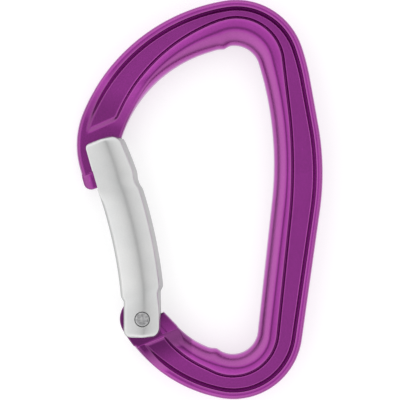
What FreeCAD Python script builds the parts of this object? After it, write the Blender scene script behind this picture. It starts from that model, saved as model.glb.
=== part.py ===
import FreeCAD, Part
import math
import os
import Sketcher
from FreeCAD import Placement, Rotation, Vector

# A bent-gate keylock carabiner, 102 mm long. It lies on its side: X is across, Y is along, from the hinge
# end to the nose end, and Z is the thickness. The origin is under the middle of its box, on the surface
# that it lies on. Lengths are in millimetres and angles in degrees.
#
# Plan names used below, going round the frame: bottom (the small rope end, by the hinge), spine, top (the
# broad rope end, by the nose), shoulder, nose, and tang (the tongue that the gate is hinged on).

DIMENSIONS = [
    # Thicknesses, each one the full size through the frame or gate.
    ("frame_thickness", 9.6, "over the flanges"),
    ("web_thickness", 3.6, "between the flanges"),
    ("neck_thickness", 4.4, "nose neck and tang, which pass between the gate's cheeks"),
    ("head_thickness", 7.0, "T-head on the nose"),
    ("gate_thickness", 9.2, "over the cheeks"),
    ("slot_width", 4.7, "between the gate's cheeks"),
    ("pocket_width", 7.4, "inside the gate, for the T-head"),
    # Outer edge of the frame.
    ("top_x", 9.35, "centre of the top end"),
    ("top_y", 33.34, "centre of the top end"),
    ("bottom_x", 8.6, "centre of the bottom end"),
    ("bottom_y", -33.34, "centre of the bottom end"),
    ("end_radius", 17.9, "outside of both ends"),
    ("shoulder_x", 14.1, "centre of the long shoulder arc"),
    ("shoulder_radius", 47.8, "long arc from the top to the nose"),
    ("nose_x", -9.82, "centre of the nose arc"),
    ("nose_radius", 21.8, "arc that turns the shoulder down to the nose"),
    ("nose_slope", -74.4, "direction of the straight side of the nose"),
    ("upper_radius", 60.2, "blend from the top end to the spine"),
    ("upper_slope", 100.1, "direction of the upper spine"),
    ("spine_y", 6.74, "height of the middle of the spine's bulge"),
    ("spine_radius", 69.5, "bulge of the spine"),
    ("lower_slope", 82.0, "direction of the lower spine"),
    ("heel_x", 12.1, "centre of the arc from the bottom end to the tang"),
    ("heel_radius", 36.95, "arc from the bottom end to the tang"),
    # Inner edge of the frame.
    ("top_inner_x", 8.89, "centre of the top rope basket"),
    ("top_inner_y", 32.89, "centre of the top rope basket"),
    ("top_inner_radius", 6.55, "top rope basket"),
    ("roof_x", 12.15, "centre of the long inner arc under the shoulder"),
    ("roof_y", 5.4, "centre of the long inner arc under the shoulder"),
    ("roof_radius", 33.75, "long inner arc under the shoulder"),
    ("inner_spine_radius", 87.6, "inner side of the spine"),
    ("inner_lower_slope", -96.2, "direction of the inner lower spine"),
    ("bottom_inner_x", 8.54, "centre of the bottom rope basket"),
    ("bottom_inner_y", -33.26, "centre of the bottom rope basket"),
    ("bottom_inner_radius", 6.4, "bottom rope basket"),
    ("floor_x", 9.9, "centre of the arc from the basket to the beak"),
    ("floor_y", -18.0, "centre of the arc from the basket to the beak"),
    ("floor_radius", 21.3, "arc from the basket to the beak"),
    ("beak_slope", 134.2, "direction of the straight edge up to the beak"),
    # Edge breaks of the frame.
    ("rope_round", 3.5, "rounding of the side that the rope touches"),
    ("outside_round", 1.2, "rounding of the outside"),
    # Web recess.
    ("flange_width", 2.75, "outer flange, at the recess floor"),
    ("wall_draft", 18, "forging draft of the recess walls"),
    ("rib_top_x", 9.42, "centre of the recess wall round the top basket"),
    ("rib_top_y", 34.48, "centre of the recess wall round the top basket"),
    ("rib_top_radius", 12.45, "recess wall round the top basket"),
    ("rib_roof_x", 19.8, "centre of the recess wall under the shoulder"),
    ("rib_roof_radius", 44.75, "recess wall under the shoulder"),
    ("rib_spine_y", 8.1, "height of the middle of the recess wall on the spine"),
    ("rib_spine_radius", 129.85, "recess wall on the spine"),
    ("rib_lower_slope", -96, "direction of the recess wall on the lower spine"),
    ("rib_bottom_x", 8.48, "centre of the recess wall round the bottom basket"),
    ("rib_bottom_y", -33.58, "centre of the recess wall round the bottom basket"),
    ("rib_bottom_radius", 11.95, "recess wall round the bottom basket"),
    ("rib_floor_x", 12.7, "centre of the recess wall by the tang"),
    ("rib_floor_y", -17.4, "centre of the recess wall by the tang"),
    ("rib_floor_radius", 28.45, "recess wall by the tang"),
    ("nose_end_outer_y", 17.1, "outer corner of the recess at the nose"),
    ("nose_end_inner_y", 19.1, "inner corner of the recess at the nose"),
    ("tang_end_outer_y", -35.5, "outer corner of the recess at the tang"),
    ("tang_end_inner_y", -33.5, "inner corner of the recess at the tang"),
    # Pivot, and the tang, measured from the pivot.
    ("pivot_x", -14.65, "gate pivot"),
    ("pivot_y", -30.6, "gate pivot"),
    ("pivot_radius", 1.45, "rivet's shank"),
    ("rivet_head_radius", 1.8, "rivet's heads"),
    ("rivet_length", 9.1, "over the heads"),
    ("rivet_head_height", 0.3, "rim of each head"),
    ("rivet_cone_height", 0.5, "taper under each rim"),
    ("running_gap", 0.05, "radial clearance round the rivet and the pusher's foot"),
    ("tang_height", 4.3, "tang's flat top and the round beside it"),
    ("tang_shelf", 5.5, "from the pivot to where the frame thickens"),
    ("tang_shelf_turn", -67.8, "direction from the pivot to where the frame thickens"),
    ("beak_x", 5.45, "stop that limits how far the gate opens"),
    ("foot_x", 3.35, "pusher's foot"),
    ("foot_y", 1.45, "pusher's foot"),
    ("foot_radius", 0.8, "pusher's foot"),
    # Nose, measured from the pivot: the arcs about the pivot let the gate swing past.
    ("head_low_radius", 35.5, "underside of the T-head"),
    ("head_high_radius", 39.6, "shoulders of the T-head"),
    ("head_inner_x", -7.3, "inner corner of the T-head"),
    ("tip_radius", 1.9, "rounded tip of the nose"),
    ("ramp_x", -27.8, "foot of the ramp from the neck up to the flanges, in the frame's own place"),
    ("ramp_y", 20.4, "foot of the ramp from the neck up to the flanges, in the frame's own place"),
    ("ramp_slope", -14.0, "direction of the ramp's foot, across the nose"),
    ("ramp_length", 13.0, "length of the ramp"),
    # Gate, measured from the pivot.
    ("bow_x", -120.7, "centre of the gate's bow"),
    ("bow_y", -5.0, "centre of the gate's bow"),
    ("bow_radius", 126.7, "inner side of the gate"),
    ("bow_turn", 27.5, "length of the bow, as a turn about its centre"),
    ("gate_width", 11.0, "across the bowed part"),
    ("gate_round", 3.0, "rounding along the gate"),
    ("cheek_left_x", -4.75, "outer side of the hinge cheeks"),
    ("cheek_right_x", 4.65, "inner side of the hinge cheeks"),
    ("cheek_end_y", -4.75, "lower end of the hinge cheeks"),
    ("cheek_left_round", 1.9, "lower outer corner of the cheeks"),
    ("cheek_right_round", 3.4, "lower inner corner of the cheeks, which swings past the frame"),
    ("cheek_left_y", 4.6, "top of the cheeks' outer side"),
    ("cheek_right_y", 7.2, "top of the cheeks' inner side"),
    ("cheek_step", 1.1, "rise of the shoulders between the cheeks and the bowed part"),
    ("gate_top_slope", 20, "direction of the gate's top edge"),
    ("gate_corner_radius", 3.2, "inner corner of the gate's top"),
    ("lip_x", -14.3, "outer corner of the gate's top"),
    ("lip_y", 44.8, "outer corner of the gate's top"),
    ("pad_y", 33.2, "outer side of the gate under the nose"),
    ("slot_top", 4.5, "end of the hinge slot"),
    ("nose_gap", 0.3, "clearance round the nose, in the gate"),
    ("pocket_high_x", -6.3, "inner wall of the T-head's pocket, at its upper end"),
    ("nose_slot_low_x", -6.6, "inner wall of the nose slot, at its lower end"),
    ("nose_slot_low_y", 37.5, "inner wall of the nose slot, at its lower end"),
    ("nose_slot_high_x", -4.6, "inner wall of the nose slot, at its upper end"),
    ("nose_slot_high_y", 48.0, "inner wall of the nose slot, at its upper end"),
    # Spring bore, spring and pusher.
    ("bore_offset", 2.85, "from the pivot to the bore's axis"),
    ("bore_turn", 98.7, "direction of the bore's axis"),
    ("bore_radius", 1.8, "spring bore"),
    ("bore_end", 26.0, "end of the bore, along its axis"),
    ("pusher_length", 9.2, "from the foot's centre to the spring's seat"),
    ("pusher_rod_radius", 0.6, "rod of the pusher"),
    ("pusher_head_radius", 1.45, "head of the pusher"),
    ("pusher_head_height", 1.4, "head of the pusher"),
    ("pusher_pilot_radius", 0.8, "pilot inside the spring"),
    ("pusher_pilot_height", 1.2, "pilot inside the spring"),
    ("coil_radius", 1.3, "spring, to the middle of its wire"),
    ("wire_radius", 0.22, "spring wire"),
    ("coil_pitch", 1.2, "spring, from turn to turn"),
    ("coil_gap", 0.15, "clearance at the spring's ends"),
]


def make_sheet(document):
    """Write the driving dimensions to a spreadsheet, one row each: name, value, what it is."""
    sheet = document.addObject("Spreadsheet::Sheet", "Dimensions")
    for row, (alias, value, note) in enumerate(DIMENSIONS, start=1):
        sheet.set(f"A{row}", alias)
        sheet.set(f"B{row}", str(value))
        sheet.setAlias(f"B{row}", alias)
        sheet.set(f"C{row}", note)
    document.recompute()
    return sheet


document = FreeCAD.newDocument("carabiner")
sheet = make_sheet(document)


def size(alias):
    """One driving dimension, as a number."""
    return float(sheet.get(alias))


def cell(alias):
    """One driving dimension, as an expression."""
    return f"Dimensions.{alias}"


def polar(centre, radius, turn):
    """The point at a radius and a direction from a centre."""
    angle = math.radians(turn)
    return Vector(centre.x + radius * math.cos(angle), centre.y + radius * math.sin(angle), 0)


def above(centre, distance, x):
    """The point at a distance from a centre, above it, at a given x."""
    return Vector(x, centre.y + math.sqrt(distance**2 - (x - centre.x) ** 2), 0)


def below(centre, distance, x):
    """The point at a distance from a centre, below it, at a given x."""
    return Vector(x, centre.y - math.sqrt(distance**2 - (x - centre.x) ** 2), 0)


def turn_of(start, end):
    """The direction from one point to another."""
    return math.degrees(math.atan2(end.y - start.y, end.x - start.x))


def tangent_turn(first, first_radius, second, second_radius):
    """Which way the outside of a straight edge faces, if it touches two circles on the same side."""
    gap = second - first
    return turn_of(first, second) + math.degrees(math.acos((first_radius - second_radius) / gap.Length))


def turn_across(centre, radius, y):
    """How far above or below level a circle's point at a given y lies, seen from the centre."""
    return math.degrees(math.asin((y - centre.y) / radius))


def centre_on_line(radius, turn, reach, y):
    """Centre, at a given y, of an arc that touches a line. The line faces turn, reach from the origin."""
    normal = polar(Vector(), 1, turn)
    return Vector((reach - radius - normal.y * y) / normal.x, y, 0)


def centre_round(circle, circle_radius, radius, turn, reach):
    """Centre of an arc that touches a line further on, and holds a smaller circle that it touches."""
    across = reach - radius - polar(Vector(), 1, turn).dot(circle)
    along = math.sqrt((radius - circle_radius) ** 2 - across**2)
    return circle + polar(Vector(), across, turn) - polar(Vector(), along, turn + 90)


# Positions that several pieces share.
PIVOT = Vector(size("pivot_x"), size("pivot_y"), 0)
FOOT = PIVOT + Vector(size("foot_x"), size("foot_y"), 0)
FOOT_X = cell("pivot_x") + " + " + cell("foot_x")
FOOT_Y = cell("pivot_y") + " + " + cell("foot_y")
MIDDLE = size("frame_thickness") / 2

# Directions, from the foot's centre and from the pivot, where the tang's outline has its corners.
SOCKET_RIGHT_TURN = -40
SOCKET_LEFT_TURN = -200
TANG_ROUND_TURN = 66

# Distances that stand clear of the gate, measured from the pivot.
CLEAR_OF_GATE = 9.0
NOSE_CLEAR_X = -20.0
BORE_OVERRUN = 1.5

# A rectangle that stands clear of the gate, measured from the pivot.
GATE_SURROUND = [(-25.0, -10.0), (15.0, -10.0), (15.0, 60.0), (-25.0, 60.0)]

# Point numbers of a sketch's edge.
START = 1
END = 2
CENTRE = 3


class Outline:
    """A closed outline in a sketch: edges drawn end to end, joined, then dimensioned from the sheet."""

    def __init__(self, sketch):
        self.sketch = sketch
        self.edges = []
        self.corners = []
        self.end = None

    def arc(self, centre, radius, start_turn, end_turn):
        """Add an arc about a centre. It runs counterclockwise if end_turn is more than start_turn."""
        circle = Part.Circle(centre, Vector(0, 0, 1), radius)
        low, high = sorted((start_turn, end_turn))
        index = self.sketch.addGeometry(Part.ArcOfCircle(circle, math.radians(low), math.radians(high)))
        forward = end_turn > start_turn
        self.edges.append((index, 1 if forward else 2, 2 if forward else 1))
        self.end = polar(centre, radius, end_turn)
        return index

    def line(self, start, end):
        """Add a straight edge."""
        index = self.sketch.addGeometry(Part.LineSegment(start, end))
        self.edges.append((index, 1, 2))
        self.end = end
        return index

    def corner(self):
        """The edge added last meets the next one at a corner. All others meet tangent."""
        self.corners.append(len(self.edges) - 1)

    def join(self):
        """Join each edge's end to the next one's start."""
        for place, (edge, _, last) in enumerate(self.edges):
            following, first, _ = self.edges[(place + 1) % len(self.edges)]
            kind = "Coincident" if place in self.corners else "Tangent"
            self.sketch.addConstraint(Sketcher.Constraint(kind, edge, last, following, first))

    def bind(self, constraint, expression):
        """Add a constraint and drive it by an expression."""
        index = self.sketch.addConstraint(constraint)
        self.sketch.setExpression(f"Constraints[{index}]", expression)

    def radius(self, edge, expression):
        value = self.sketch.Geometry[edge].Radius
        self.bind(Sketcher.Constraint("Radius", edge, value), expression)

    def place_x(self, edge, point, expression):
        value = self.sketch.getPoint(edge, point).x
        self.bind(Sketcher.Constraint("DistanceX", -1, 1, edge, point, value), expression)

    def place_y(self, edge, point, expression):
        value = self.sketch.getPoint(edge, point).y
        self.bind(Sketcher.Constraint("DistanceY", -1, 1, edge, point, value), expression)

    def place(self, edge, point, x_expression, y_expression):
        self.place_x(edge, point, x_expression)
        self.place_y(edge, point, y_expression)

    def hold_end(self, edge, point):
        """Hold one end of an arc where it is drawn, by its height over the arc's centre."""
        centre = self.sketch.getPoint(edge, CENTRE)
        value = self.sketch.getPoint(edge, point).y - centre.y
        self.sketch.addConstraint(Sketcher.Constraint("DistanceY", edge, CENTRE, edge, point, value))

    def slope(self, edge, expression):
        line = self.sketch.Geometry[edge]
        value = math.radians(turn_of(line.StartPoint, line.EndPoint))
        self.bind(Sketcher.Constraint("Angle", edge, value), f"{expression} * 1 deg")


def new_body(name):
    body = document.addObject("PartDesign::Body", name)
    body.Label = name
    return body


def plane_of(body, role):
    """One of the body's own origin planes."""
    return next(item for item in body.Origin.OriginFeatures if item.Role == role)


def new_sketch(body, name, role="XY_Plane", height=None):
    """A sketch on one of the body's origin planes, raised by an expression if there is one."""
    sketch = body.newObject("Sketcher::SketchObject", name)
    sketch.AttachmentSupport = (plane_of(body, role), [""])
    sketch.MapMode = "FlatFace"
    if height:
        sketch.setExpression("AttachmentOffset.Base.z", height)
    return sketch


def check_volume(before, feature, grows):
    """Stop if a feature did nothing, or worked in the wrong direction."""
    document.recompute()
    change = feature.Shape.Volume - before
    if abs(change) < 1e-3 or (change > 0) != grows:
        raise RuntimeError(f"{feature.Name} changed the volume by {change:.3f}")


def pad(body, sketch, name, thickness):
    """Thicken a sketch on both sides of its plane."""
    feature = body.newObject("PartDesign::Pad", name)
    feature.Profile = sketch
    feature.SideType = "Symmetric"
    feature.setExpression("Length", thickness)
    check_volume(0, feature, grows=True)


def mirror_below(body, cut):
    """Repeat a cut on the other face."""
    before = body.Shape.Volume
    mirror = body.newObject("PartDesign::Mirrored", cut.Name + "_below")
    mirror.Originals = [cut]
    mirror.MirrorPlane = (plane_of(body, "XY_Plane"), [""])
    body.Tip = mirror
    check_volume(before, mirror, grows=False)


def recess(body, sketch, name, depth, draft=None):
    """Cut from a sketch at a recess's floor up to the upper face, and the same below.

    With a draft, the recess opens out towards the face.
    """
    before = body.Shape.Volume
    cut = body.newObject("PartDesign::Pocket", name)
    cut.Profile = sketch
    cut.Reversed = True
    cut.setExpression("Length", depth)
    if draft:
        cut.setExpression("TaperAngle", draft)
    check_volume(before, cut, grows=False)
    mirror_below(body, cut)


def slot(body, sketch, name, width):
    """Cut a sketch through the middle of the body, to a width."""
    before = body.Shape.Volume
    cut = body.newObject("PartDesign::Pocket", name)
    cut.Profile = sketch
    cut.SideType = "Symmetric"
    cut.setExpression("Length", width)
    check_volume(before, cut, grows=False)


def edges_over(shape, sketch, indices, height):
    """Names of the shape's edges that lie over the sketch's edges, at plus and minus a height."""
    names = []
    for index in indices:
        curve = sketch.Geometry[index].toShape()
        middle = curve.valueAt((curve.FirstParameter + curve.LastParameter) / 2)
        for level in (height, -height):
            spot = Part.Vertex(middle + Vector(0, 0, level))
            near = [n for n, edge in enumerate(shape.Edges, start=1) if edge.distToShape(spot)[0] < 1e-4]
            names += [f"Edge{n}" for n in near]
    return names


def round_edges(body, name, edge_names, radius):
    base = body.Tip
    before = base.Shape.Volume
    feature = body.newObject("PartDesign::Fillet", name)
    feature.Base = (base, edge_names)
    feature.setExpression("Radius", radius)
    check_volume(before, feature, grows=False)


def reach_of(centre, radius, turn):
    """How far from the origin a line that touches a circle lies, along the way that it faces."""
    return polar(centre, radius, turn).dot(polar(Vector(), 1, turn))


def outer_centres():
    """Centres of the frame's outer arcs. Neighbouring arcs touch, the smaller inside the larger."""
    end = size("end_radius")
    top = Vector(size("top_x"), size("top_y"), 0)
    bottom = Vector(size("bottom_x"), size("bottom_y"), 0)
    shoulder = below(top, size("shoulder_radius") - end, size("shoulder_x"))
    nose = above(shoulder, size("shoulder_radius") - size("nose_radius"), size("nose_x"))
    heel = above(bottom, size("heel_radius") - end, size("heel_x"))
    lower_turn = size("lower_slope") - 90
    upper_turn = size("upper_slope") - 90
    lower_reach = reach_of(bottom, end, lower_turn)
    spine = centre_on_line(size("spine_radius"), lower_turn, lower_reach, size("spine_y"))
    upper_reach = reach_of(spine, size("spine_radius"), upper_turn)
    upper = centre_round(top, end, size("upper_radius"), upper_turn, upper_reach)
    return top, bottom, shoulder, nose, heel, spine, upper


def draw_outside(outline, inset, from_turn, to_turn):
    """The outer arcs, from the heel to the nose, moved inward by inset, which is an expression.

    The heel arc starts at from_turn and the nose arc ends at to_turn. Returns a function that dimensions
    the arcs, to be called once the whole outline is joined, and the arcs themselves.
    """
    top, bottom, shoulder, nose, heel, spine, upper = outer_centres()
    lower_turn = size("lower_slope") - 90
    upper_turn = size("upper_slope") - 90
    margin = size(inset.split(".")[1]) if inset else 0
    less = f" - {inset}" if inset else ""

    def radius(alias):
        return size(alias) - margin

    end = radius("end_radius")
    heel_edge = outline.arc(heel, radius("heel_radius"), from_turn, turn_of(heel, bottom))
    bottom_edge = outline.arc(bottom, end, turn_of(heel, bottom), lower_turn)
    lower_edge = outline.line(outline.end, polar(spine, radius("spine_radius"), lower_turn))
    spine_edge = outline.arc(spine, radius("spine_radius"), lower_turn, upper_turn)
    upper_edge = outline.line(outline.end, polar(upper, radius("upper_radius"), upper_turn))
    blend_edge = outline.arc(upper, radius("upper_radius"), upper_turn, turn_of(upper, top))
    top_edge = outline.arc(top, end, turn_of(upper, top), turn_of(shoulder, top))
    shoulder_edge = outline.arc(
        shoulder, radius("shoulder_radius"), turn_of(shoulder, top), turn_of(shoulder, nose))
    nose_edge = outline.arc(nose, radius("nose_radius"), turn_of(shoulder, nose), to_turn)

    def bind_outside():
        sizes = {
            heel_edge: "heel_radius", bottom_edge: "end_radius", spine_edge: "spine_radius",
            blend_edge: "upper_radius", top_edge: "end_radius", shoulder_edge: "shoulder_radius",
            nose_edge: "nose_radius",
        }
        for edge, alias in sizes.items():
            outline.radius(edge, cell(alias) + less)
        outline.place(top_edge, CENTRE, cell("top_x"), cell("top_y"))
        outline.place(bottom_edge, CENTRE, cell("bottom_x"), cell("bottom_y"))
        outline.place_x(heel_edge, CENTRE, cell("heel_x"))
        outline.place_x(shoulder_edge, CENTRE, cell("shoulder_x"))
        outline.place_x(nose_edge, CENTRE, cell("nose_x"))
        outline.place_y(spine_edge, CENTRE, cell("spine_y"))
        outline.slope(lower_edge, cell("lower_slope"))
        outline.slope(upper_edge, cell("upper_slope"))

    outside = [heel_edge, bottom_edge, lower_edge, spine_edge, upper_edge, blend_edge, top_edge,
               shoulder_edge, nose_edge]
    return bind_outside, outside


def draw_frame(sketch):
    """The frame's whole plan. Returns the edges of its outside, and those that the rope touches."""
    outline = Outline(sketch)
    heel = outer_centres()[4]
    nose = outer_centres()[3]
    bind_outside, outside = draw_outside(outline, "", turn_of(heel, PIVOT), size("nose_slope") + 270)

    # Nose: straight side, rounded tip, underside and inner side of the neck.
    side_turn = size("nose_slope") + 270
    side_reach = polar(Vector(), 1, side_turn).dot(nose - PIVOT) + size("nose_radius") - size("tip_radius")
    tip_distance = size("head_low_radius") + size("tip_radius")
    tip_along = math.sqrt(tip_distance**2 - side_reach**2)
    tip = PIVOT + polar(Vector(), side_reach, side_turn) + polar(Vector(), tip_along, side_turn - 90)
    side_edge = outline.line(outline.end, polar(tip, size("tip_radius"), side_turn))
    tip_edge = outline.arc(tip, size("tip_radius"), side_turn, turn_of(tip, PIVOT) + 360)
    head_x = size("head_inner_x")
    head_corner = above(PIVOT, size("head_low_radius"), PIVOT.x + head_x)
    under_edge = outline.arc(
        PIVOT, size("head_low_radius"), turn_of(PIVOT, tip), turn_of(PIVOT, head_corner))
    outline.corner()
    roof = Vector(size("roof_x"), size("roof_y"), 0)
    roof_radius = size("roof_radius")
    neck_spread = math.degrees(math.acos(roof_radius / (head_corner - roof).Length))
    neck_turn = (turn_of(roof, head_corner) - neck_spread) % 360
    neck_edge = outline.line(head_corner, polar(roof, roof_radius, neck_turn))

    # Inner edge, clockwise: roof, top basket, spine, bottom basket, floor, beak.
    top_inner = Vector(size("top_inner_x"), size("top_inner_y"), 0)
    top_radius = size("top_inner_radius")
    bottom_inner = Vector(size("bottom_inner_x"), size("bottom_inner_y"), 0)
    bottom_radius = size("bottom_inner_radius")
    floor = Vector(size("floor_x"), size("floor_y"), 0)
    floor_radius = size("floor_radius")
    lip_turn = tangent_turn(roof, roof_radius, top_inner, top_radius)
    ledge_turn = tangent_turn(bottom_inner, bottom_radius, floor, floor_radius) - 360
    spine_turn = size("inner_lower_slope") + 90
    spine_reach = reach_of(bottom_inner, bottom_radius, spine_turn)
    spine_radius = size("inner_spine_radius")
    spine = centre_round(top_inner, top_radius, spine_radius, spine_turn, spine_reach)
    beak_turn = size("beak_slope") - 270
    roof_edge = outline.arc(roof, roof_radius, neck_turn, lip_turn)
    lip_edge = outline.line(outline.end, polar(top_inner, top_radius, lip_turn))
    top_edge = outline.arc(top_inner, top_radius, lip_turn, turn_of(spine, top_inner))
    spine_edge = outline.arc(spine, spine_radius, turn_of(spine, top_inner), spine_turn)
    lower_edge = outline.line(outline.end, polar(bottom_inner, bottom_radius, spine_turn))
    bottom_edge = outline.arc(bottom_inner, bottom_radius, spine_turn, ledge_turn)
    ledge_edge = outline.line(outline.end, polar(floor, floor_radius, ledge_turn))
    floor_edge = outline.arc(floor, floor_radius, ledge_turn, beak_turn)
    start = outline.end
    beak_x = PIVOT.x + size("beak_x")
    rise = math.tan(math.radians(size("beak_slope")))
    beak = Vector(beak_x, start.y + (beak_x - start.x) * rise, 0)
    beak_edge = outline.line(start, beak)
    outline.corner()

    # Tang: socket for the pusher's foot, round and flat over the pivot, boss.
    socket_radius = size("foot_radius") + size("running_gap")
    shelf = size("tang_height")
    socket_right = polar(FOOT, socket_radius, SOCKET_RIGHT_TURN)
    outline.line(beak, socket_right)
    outline.corner()
    socket_edge = outline.arc(FOOT, socket_radius, SOCKET_RIGHT_TURN, SOCKET_LEFT_TURN)
    outline.corner()
    outline.line(outline.end, polar(PIVOT, shelf, TANG_ROUND_TURN))
    outline.corner()
    round_edge = outline.arc(PIVOT, shelf, TANG_ROUND_TURN, 90)
    boss_radius = size("heel_radius") - (heel - PIVOT).Length
    boss_turn = 180 - math.degrees(math.asin(shelf / boss_radius))
    flat_edge = outline.line(outline.end, polar(PIVOT, boss_radius, boss_turn))
    outline.corner()
    boss_edge = outline.arc(PIVOT, boss_radius, boss_turn, turn_of(heel, PIVOT) + 360)
    outline.join()
    bind_outside()

    sizes = {
        tip_edge: "tip_radius", under_edge: "head_low_radius", roof_edge: "roof_radius",
        top_edge: "top_inner_radius", spine_edge: "inner_spine_radius",
        bottom_edge: "bottom_inner_radius", floor_edge: "floor_radius", round_edge: "tang_height",
    }
    for edge, alias in sizes.items():
        outline.radius(edge, cell(alias))
    outline.radius(socket_edge, cell("foot_radius") + " + " + cell("running_gap"))
    for edge, name in ((roof_edge, "roof"), (top_edge, "top_inner"), (bottom_edge, "bottom_inner"),
                       (floor_edge, "floor")):
        outline.place(edge, CENTRE, cell(name + "_x"), cell(name + "_y"))
    for edge in (under_edge, round_edge, boss_edge):
        outline.place(edge, CENTRE, cell("pivot_x"), cell("pivot_y"))
    outline.place(socket_edge, CENTRE, FOOT_X, FOOT_Y)
    outline.slope(side_edge, cell("nose_slope"))
    outline.slope(lower_edge, cell("inner_lower_slope"))
    outline.slope(beak_edge, cell("beak_slope"))
    outline.place_x(beak_edge, END, cell("pivot_x") + " + " + cell("beak_x"))
    outline.place_x(neck_edge, START, cell("pivot_x") + " + " + cell("head_inner_x"))
    sketch.addConstraint(Sketcher.Constraint("Horizontal", flat_edge))
    outline.hold_end(socket_edge, START)
    outline.hold_end(socket_edge, END)
    outline.hold_end(round_edge, START)
    rope_side = [roof_edge, lip_edge, top_edge, spine_edge, lower_edge, bottom_edge, ledge_edge,
                 floor_edge]
    return outside, rope_side


def draw_web(sketch):
    """Plan of the recess between the outer flange and the rope-side rib."""
    outline = Outline(sketch)
    heel = outer_centres()[4]
    nose = outer_centres()[3]
    margin = size("flange_width")
    tang_turn = turn_across(heel, size("heel_radius") - margin, size("tang_end_outer_y"))
    nose_turn = 180 - turn_across(nose, size("nose_radius") - margin, size("nose_end_outer_y"))
    bind_outside, _ = draw_outside(outline, cell("flange_width"), -180 - tang_turn, nose_turn)
    outline.corner()

    # Rope-side wall, clockwise: roof, top, spine, bottom, floor.
    top = Vector(size("rib_top_x"), size("rib_top_y"), 0)
    top_radius = size("rib_top_radius")
    roof_radius = size("rib_roof_radius")
    roof = below(top, roof_radius - top_radius, size("rib_roof_x"))
    bottom = Vector(size("rib_bottom_x"), size("rib_bottom_y"), 0)
    bottom_radius = size("rib_bottom_radius")
    floor = Vector(size("rib_floor_x"), size("rib_floor_y"), 0)
    floor_radius = size("rib_floor_radius")
    spine_turn = size("rib_lower_slope") + 90
    spine_radius = size("rib_spine_radius")
    spine_reach = reach_of(bottom, bottom_radius, spine_turn)
    spine = centre_on_line(spine_radius, spine_turn, spine_reach, size("rib_spine_y"))
    upper_turn = tangent_turn(top, top_radius, spine, spine_radius)
    ledge_turn = tangent_turn(bottom, bottom_radius, floor, floor_radius) - 360
    nose_wall_turn = 180 - turn_across(roof, roof_radius, size("nose_end_inner_y"))
    tang_wall_turn = -180 - turn_across(floor, floor_radius, size("tang_end_inner_y"))
    nose_edge = outline.line(outline.end, polar(roof, roof_radius, nose_wall_turn))
    outline.corner()
    roof_edge = outline.arc(roof, roof_radius, nose_wall_turn, turn_of(roof, top))
    top_edge = outline.arc(top, top_radius, turn_of(roof, top), upper_turn)
    outline.line(outline.end, polar(spine, spine_radius, upper_turn))
    spine_edge = outline.arc(spine, spine_radius, upper_turn, spine_turn)
    lower_edge = outline.line(outline.end, polar(bottom, bottom_radius, spine_turn))
    bottom_edge = outline.arc(bottom, bottom_radius, spine_turn, ledge_turn)
    outline.line(outline.end, polar(floor, floor_radius, ledge_turn))
    floor_edge = outline.arc(floor, floor_radius, ledge_turn, tang_wall_turn)
    outline.corner()
    heel_start = polar(heel, size("heel_radius") - margin, -180 - tang_turn)
    tang_edge = outline.line(outline.end, heel_start)
    outline.corner()
    outline.join()
    bind_outside()

    sizes = {
        roof_edge: "rib_roof_radius", top_edge: "rib_top_radius", spine_edge: "rib_spine_radius",
        bottom_edge: "rib_bottom_radius", floor_edge: "rib_floor_radius",
    }
    for edge, alias in sizes.items():
        outline.radius(edge, cell(alias))
    for edge, name in ((top_edge, "rib_top"), (bottom_edge, "rib_bottom"), (floor_edge, "rib_floor")):
        outline.place(edge, CENTRE, cell(name + "_x"), cell(name + "_y"))
    outline.place_x(roof_edge, CENTRE, cell("rib_roof_x"))
    outline.place_y(spine_edge, CENTRE, cell("rib_spine_y"))
    outline.slope(lower_edge, cell("rib_lower_slope"))
    outline.place_y(nose_edge, START, cell("nose_end_outer_y"))
    outline.place_y(nose_edge, END, cell("nose_end_inner_y"))
    outline.place_y(tang_edge, START, cell("tang_end_inner_y"))
    outline.place_y(tang_edge, END, cell("tang_end_outer_y"))


def draw_polygon(sketch, corners):
    """A closed outline of straight edges. Each corner is a point and its two expressions."""
    outline = Outline(sketch)
    for (start, _, _), (end, _, _) in zip(corners, corners[1:] + corners[:1]):
        outline.line(start, end)
        outline.corner()
    outline.join()
    for (edge, _, _), (_, x_expression, y_expression) in zip(outline.edges, corners):
        outline.place(edge, START, x_expression, y_expression)


def draw_circle(sketch, centre, radius, x_expression, y_expression, radius_expression):
    """One circle, placed and sized by expressions."""
    outline = Outline(sketch)
    edge = sketch.addGeometry(Part.Circle(centre, Vector(0, 0, 1), radius))
    outline.place(edge, CENTRE, x_expression, y_expression)
    outline.radius(edge, radius_expression)


def fixed(x, y):
    """A corner of a cut that stands clear of the piece, so that its place doesn't matter."""
    return Vector(x, y, 0), str(x), str(y)


# Corners of the cuts over the nose and the tang that stand clear of the frame.
NOSE_LEFT = -34.0
NOSE_RIGHT = -17.0
NOSE_BELOW = 0.0
HEAD_ABOVE = 12.0
RAMP_BELOW = -3.0
RAMP_ABOVE = 1.0
RAMP_WIDTH = 44.0
TANG_LEFT = -24.0
TANG_RIGHT = -3.0
TANG_ABOVE = -24.0


def ramp_foot(x):
    """A point on the foot of the nose's ramp, with its expressions."""
    y = size("ramp_y") + (x - size("ramp_x")) * math.tan(math.radians(size("ramp_slope")))
    y_expression = f"{cell('ramp_y')} + ({x} - {cell('ramp_x')}) * tan({cell('ramp_slope')} * 1 deg)"
    return Vector(x, y, 0), str(x), y_expression


def tang_shelf(x):
    """A point on the line where the frame thickens below the tang, with its expressions."""
    turn = math.radians(size("tang_shelf_turn"))
    y = PIVOT.y + (size("tang_shelf") - (x - PIVOT.x) * math.cos(turn)) / math.sin(turn)
    angle = f"({cell('tang_shelf_turn')} * 1 deg)"
    across = f"({x} - {cell('pivot_x')}) * cos{angle}"
    y_expression = f"{cell('pivot_y')} + ({cell('tang_shelf')} - {across}) / sin{angle}"
    return Vector(x, y, 0), str(x), y_expression


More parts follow.
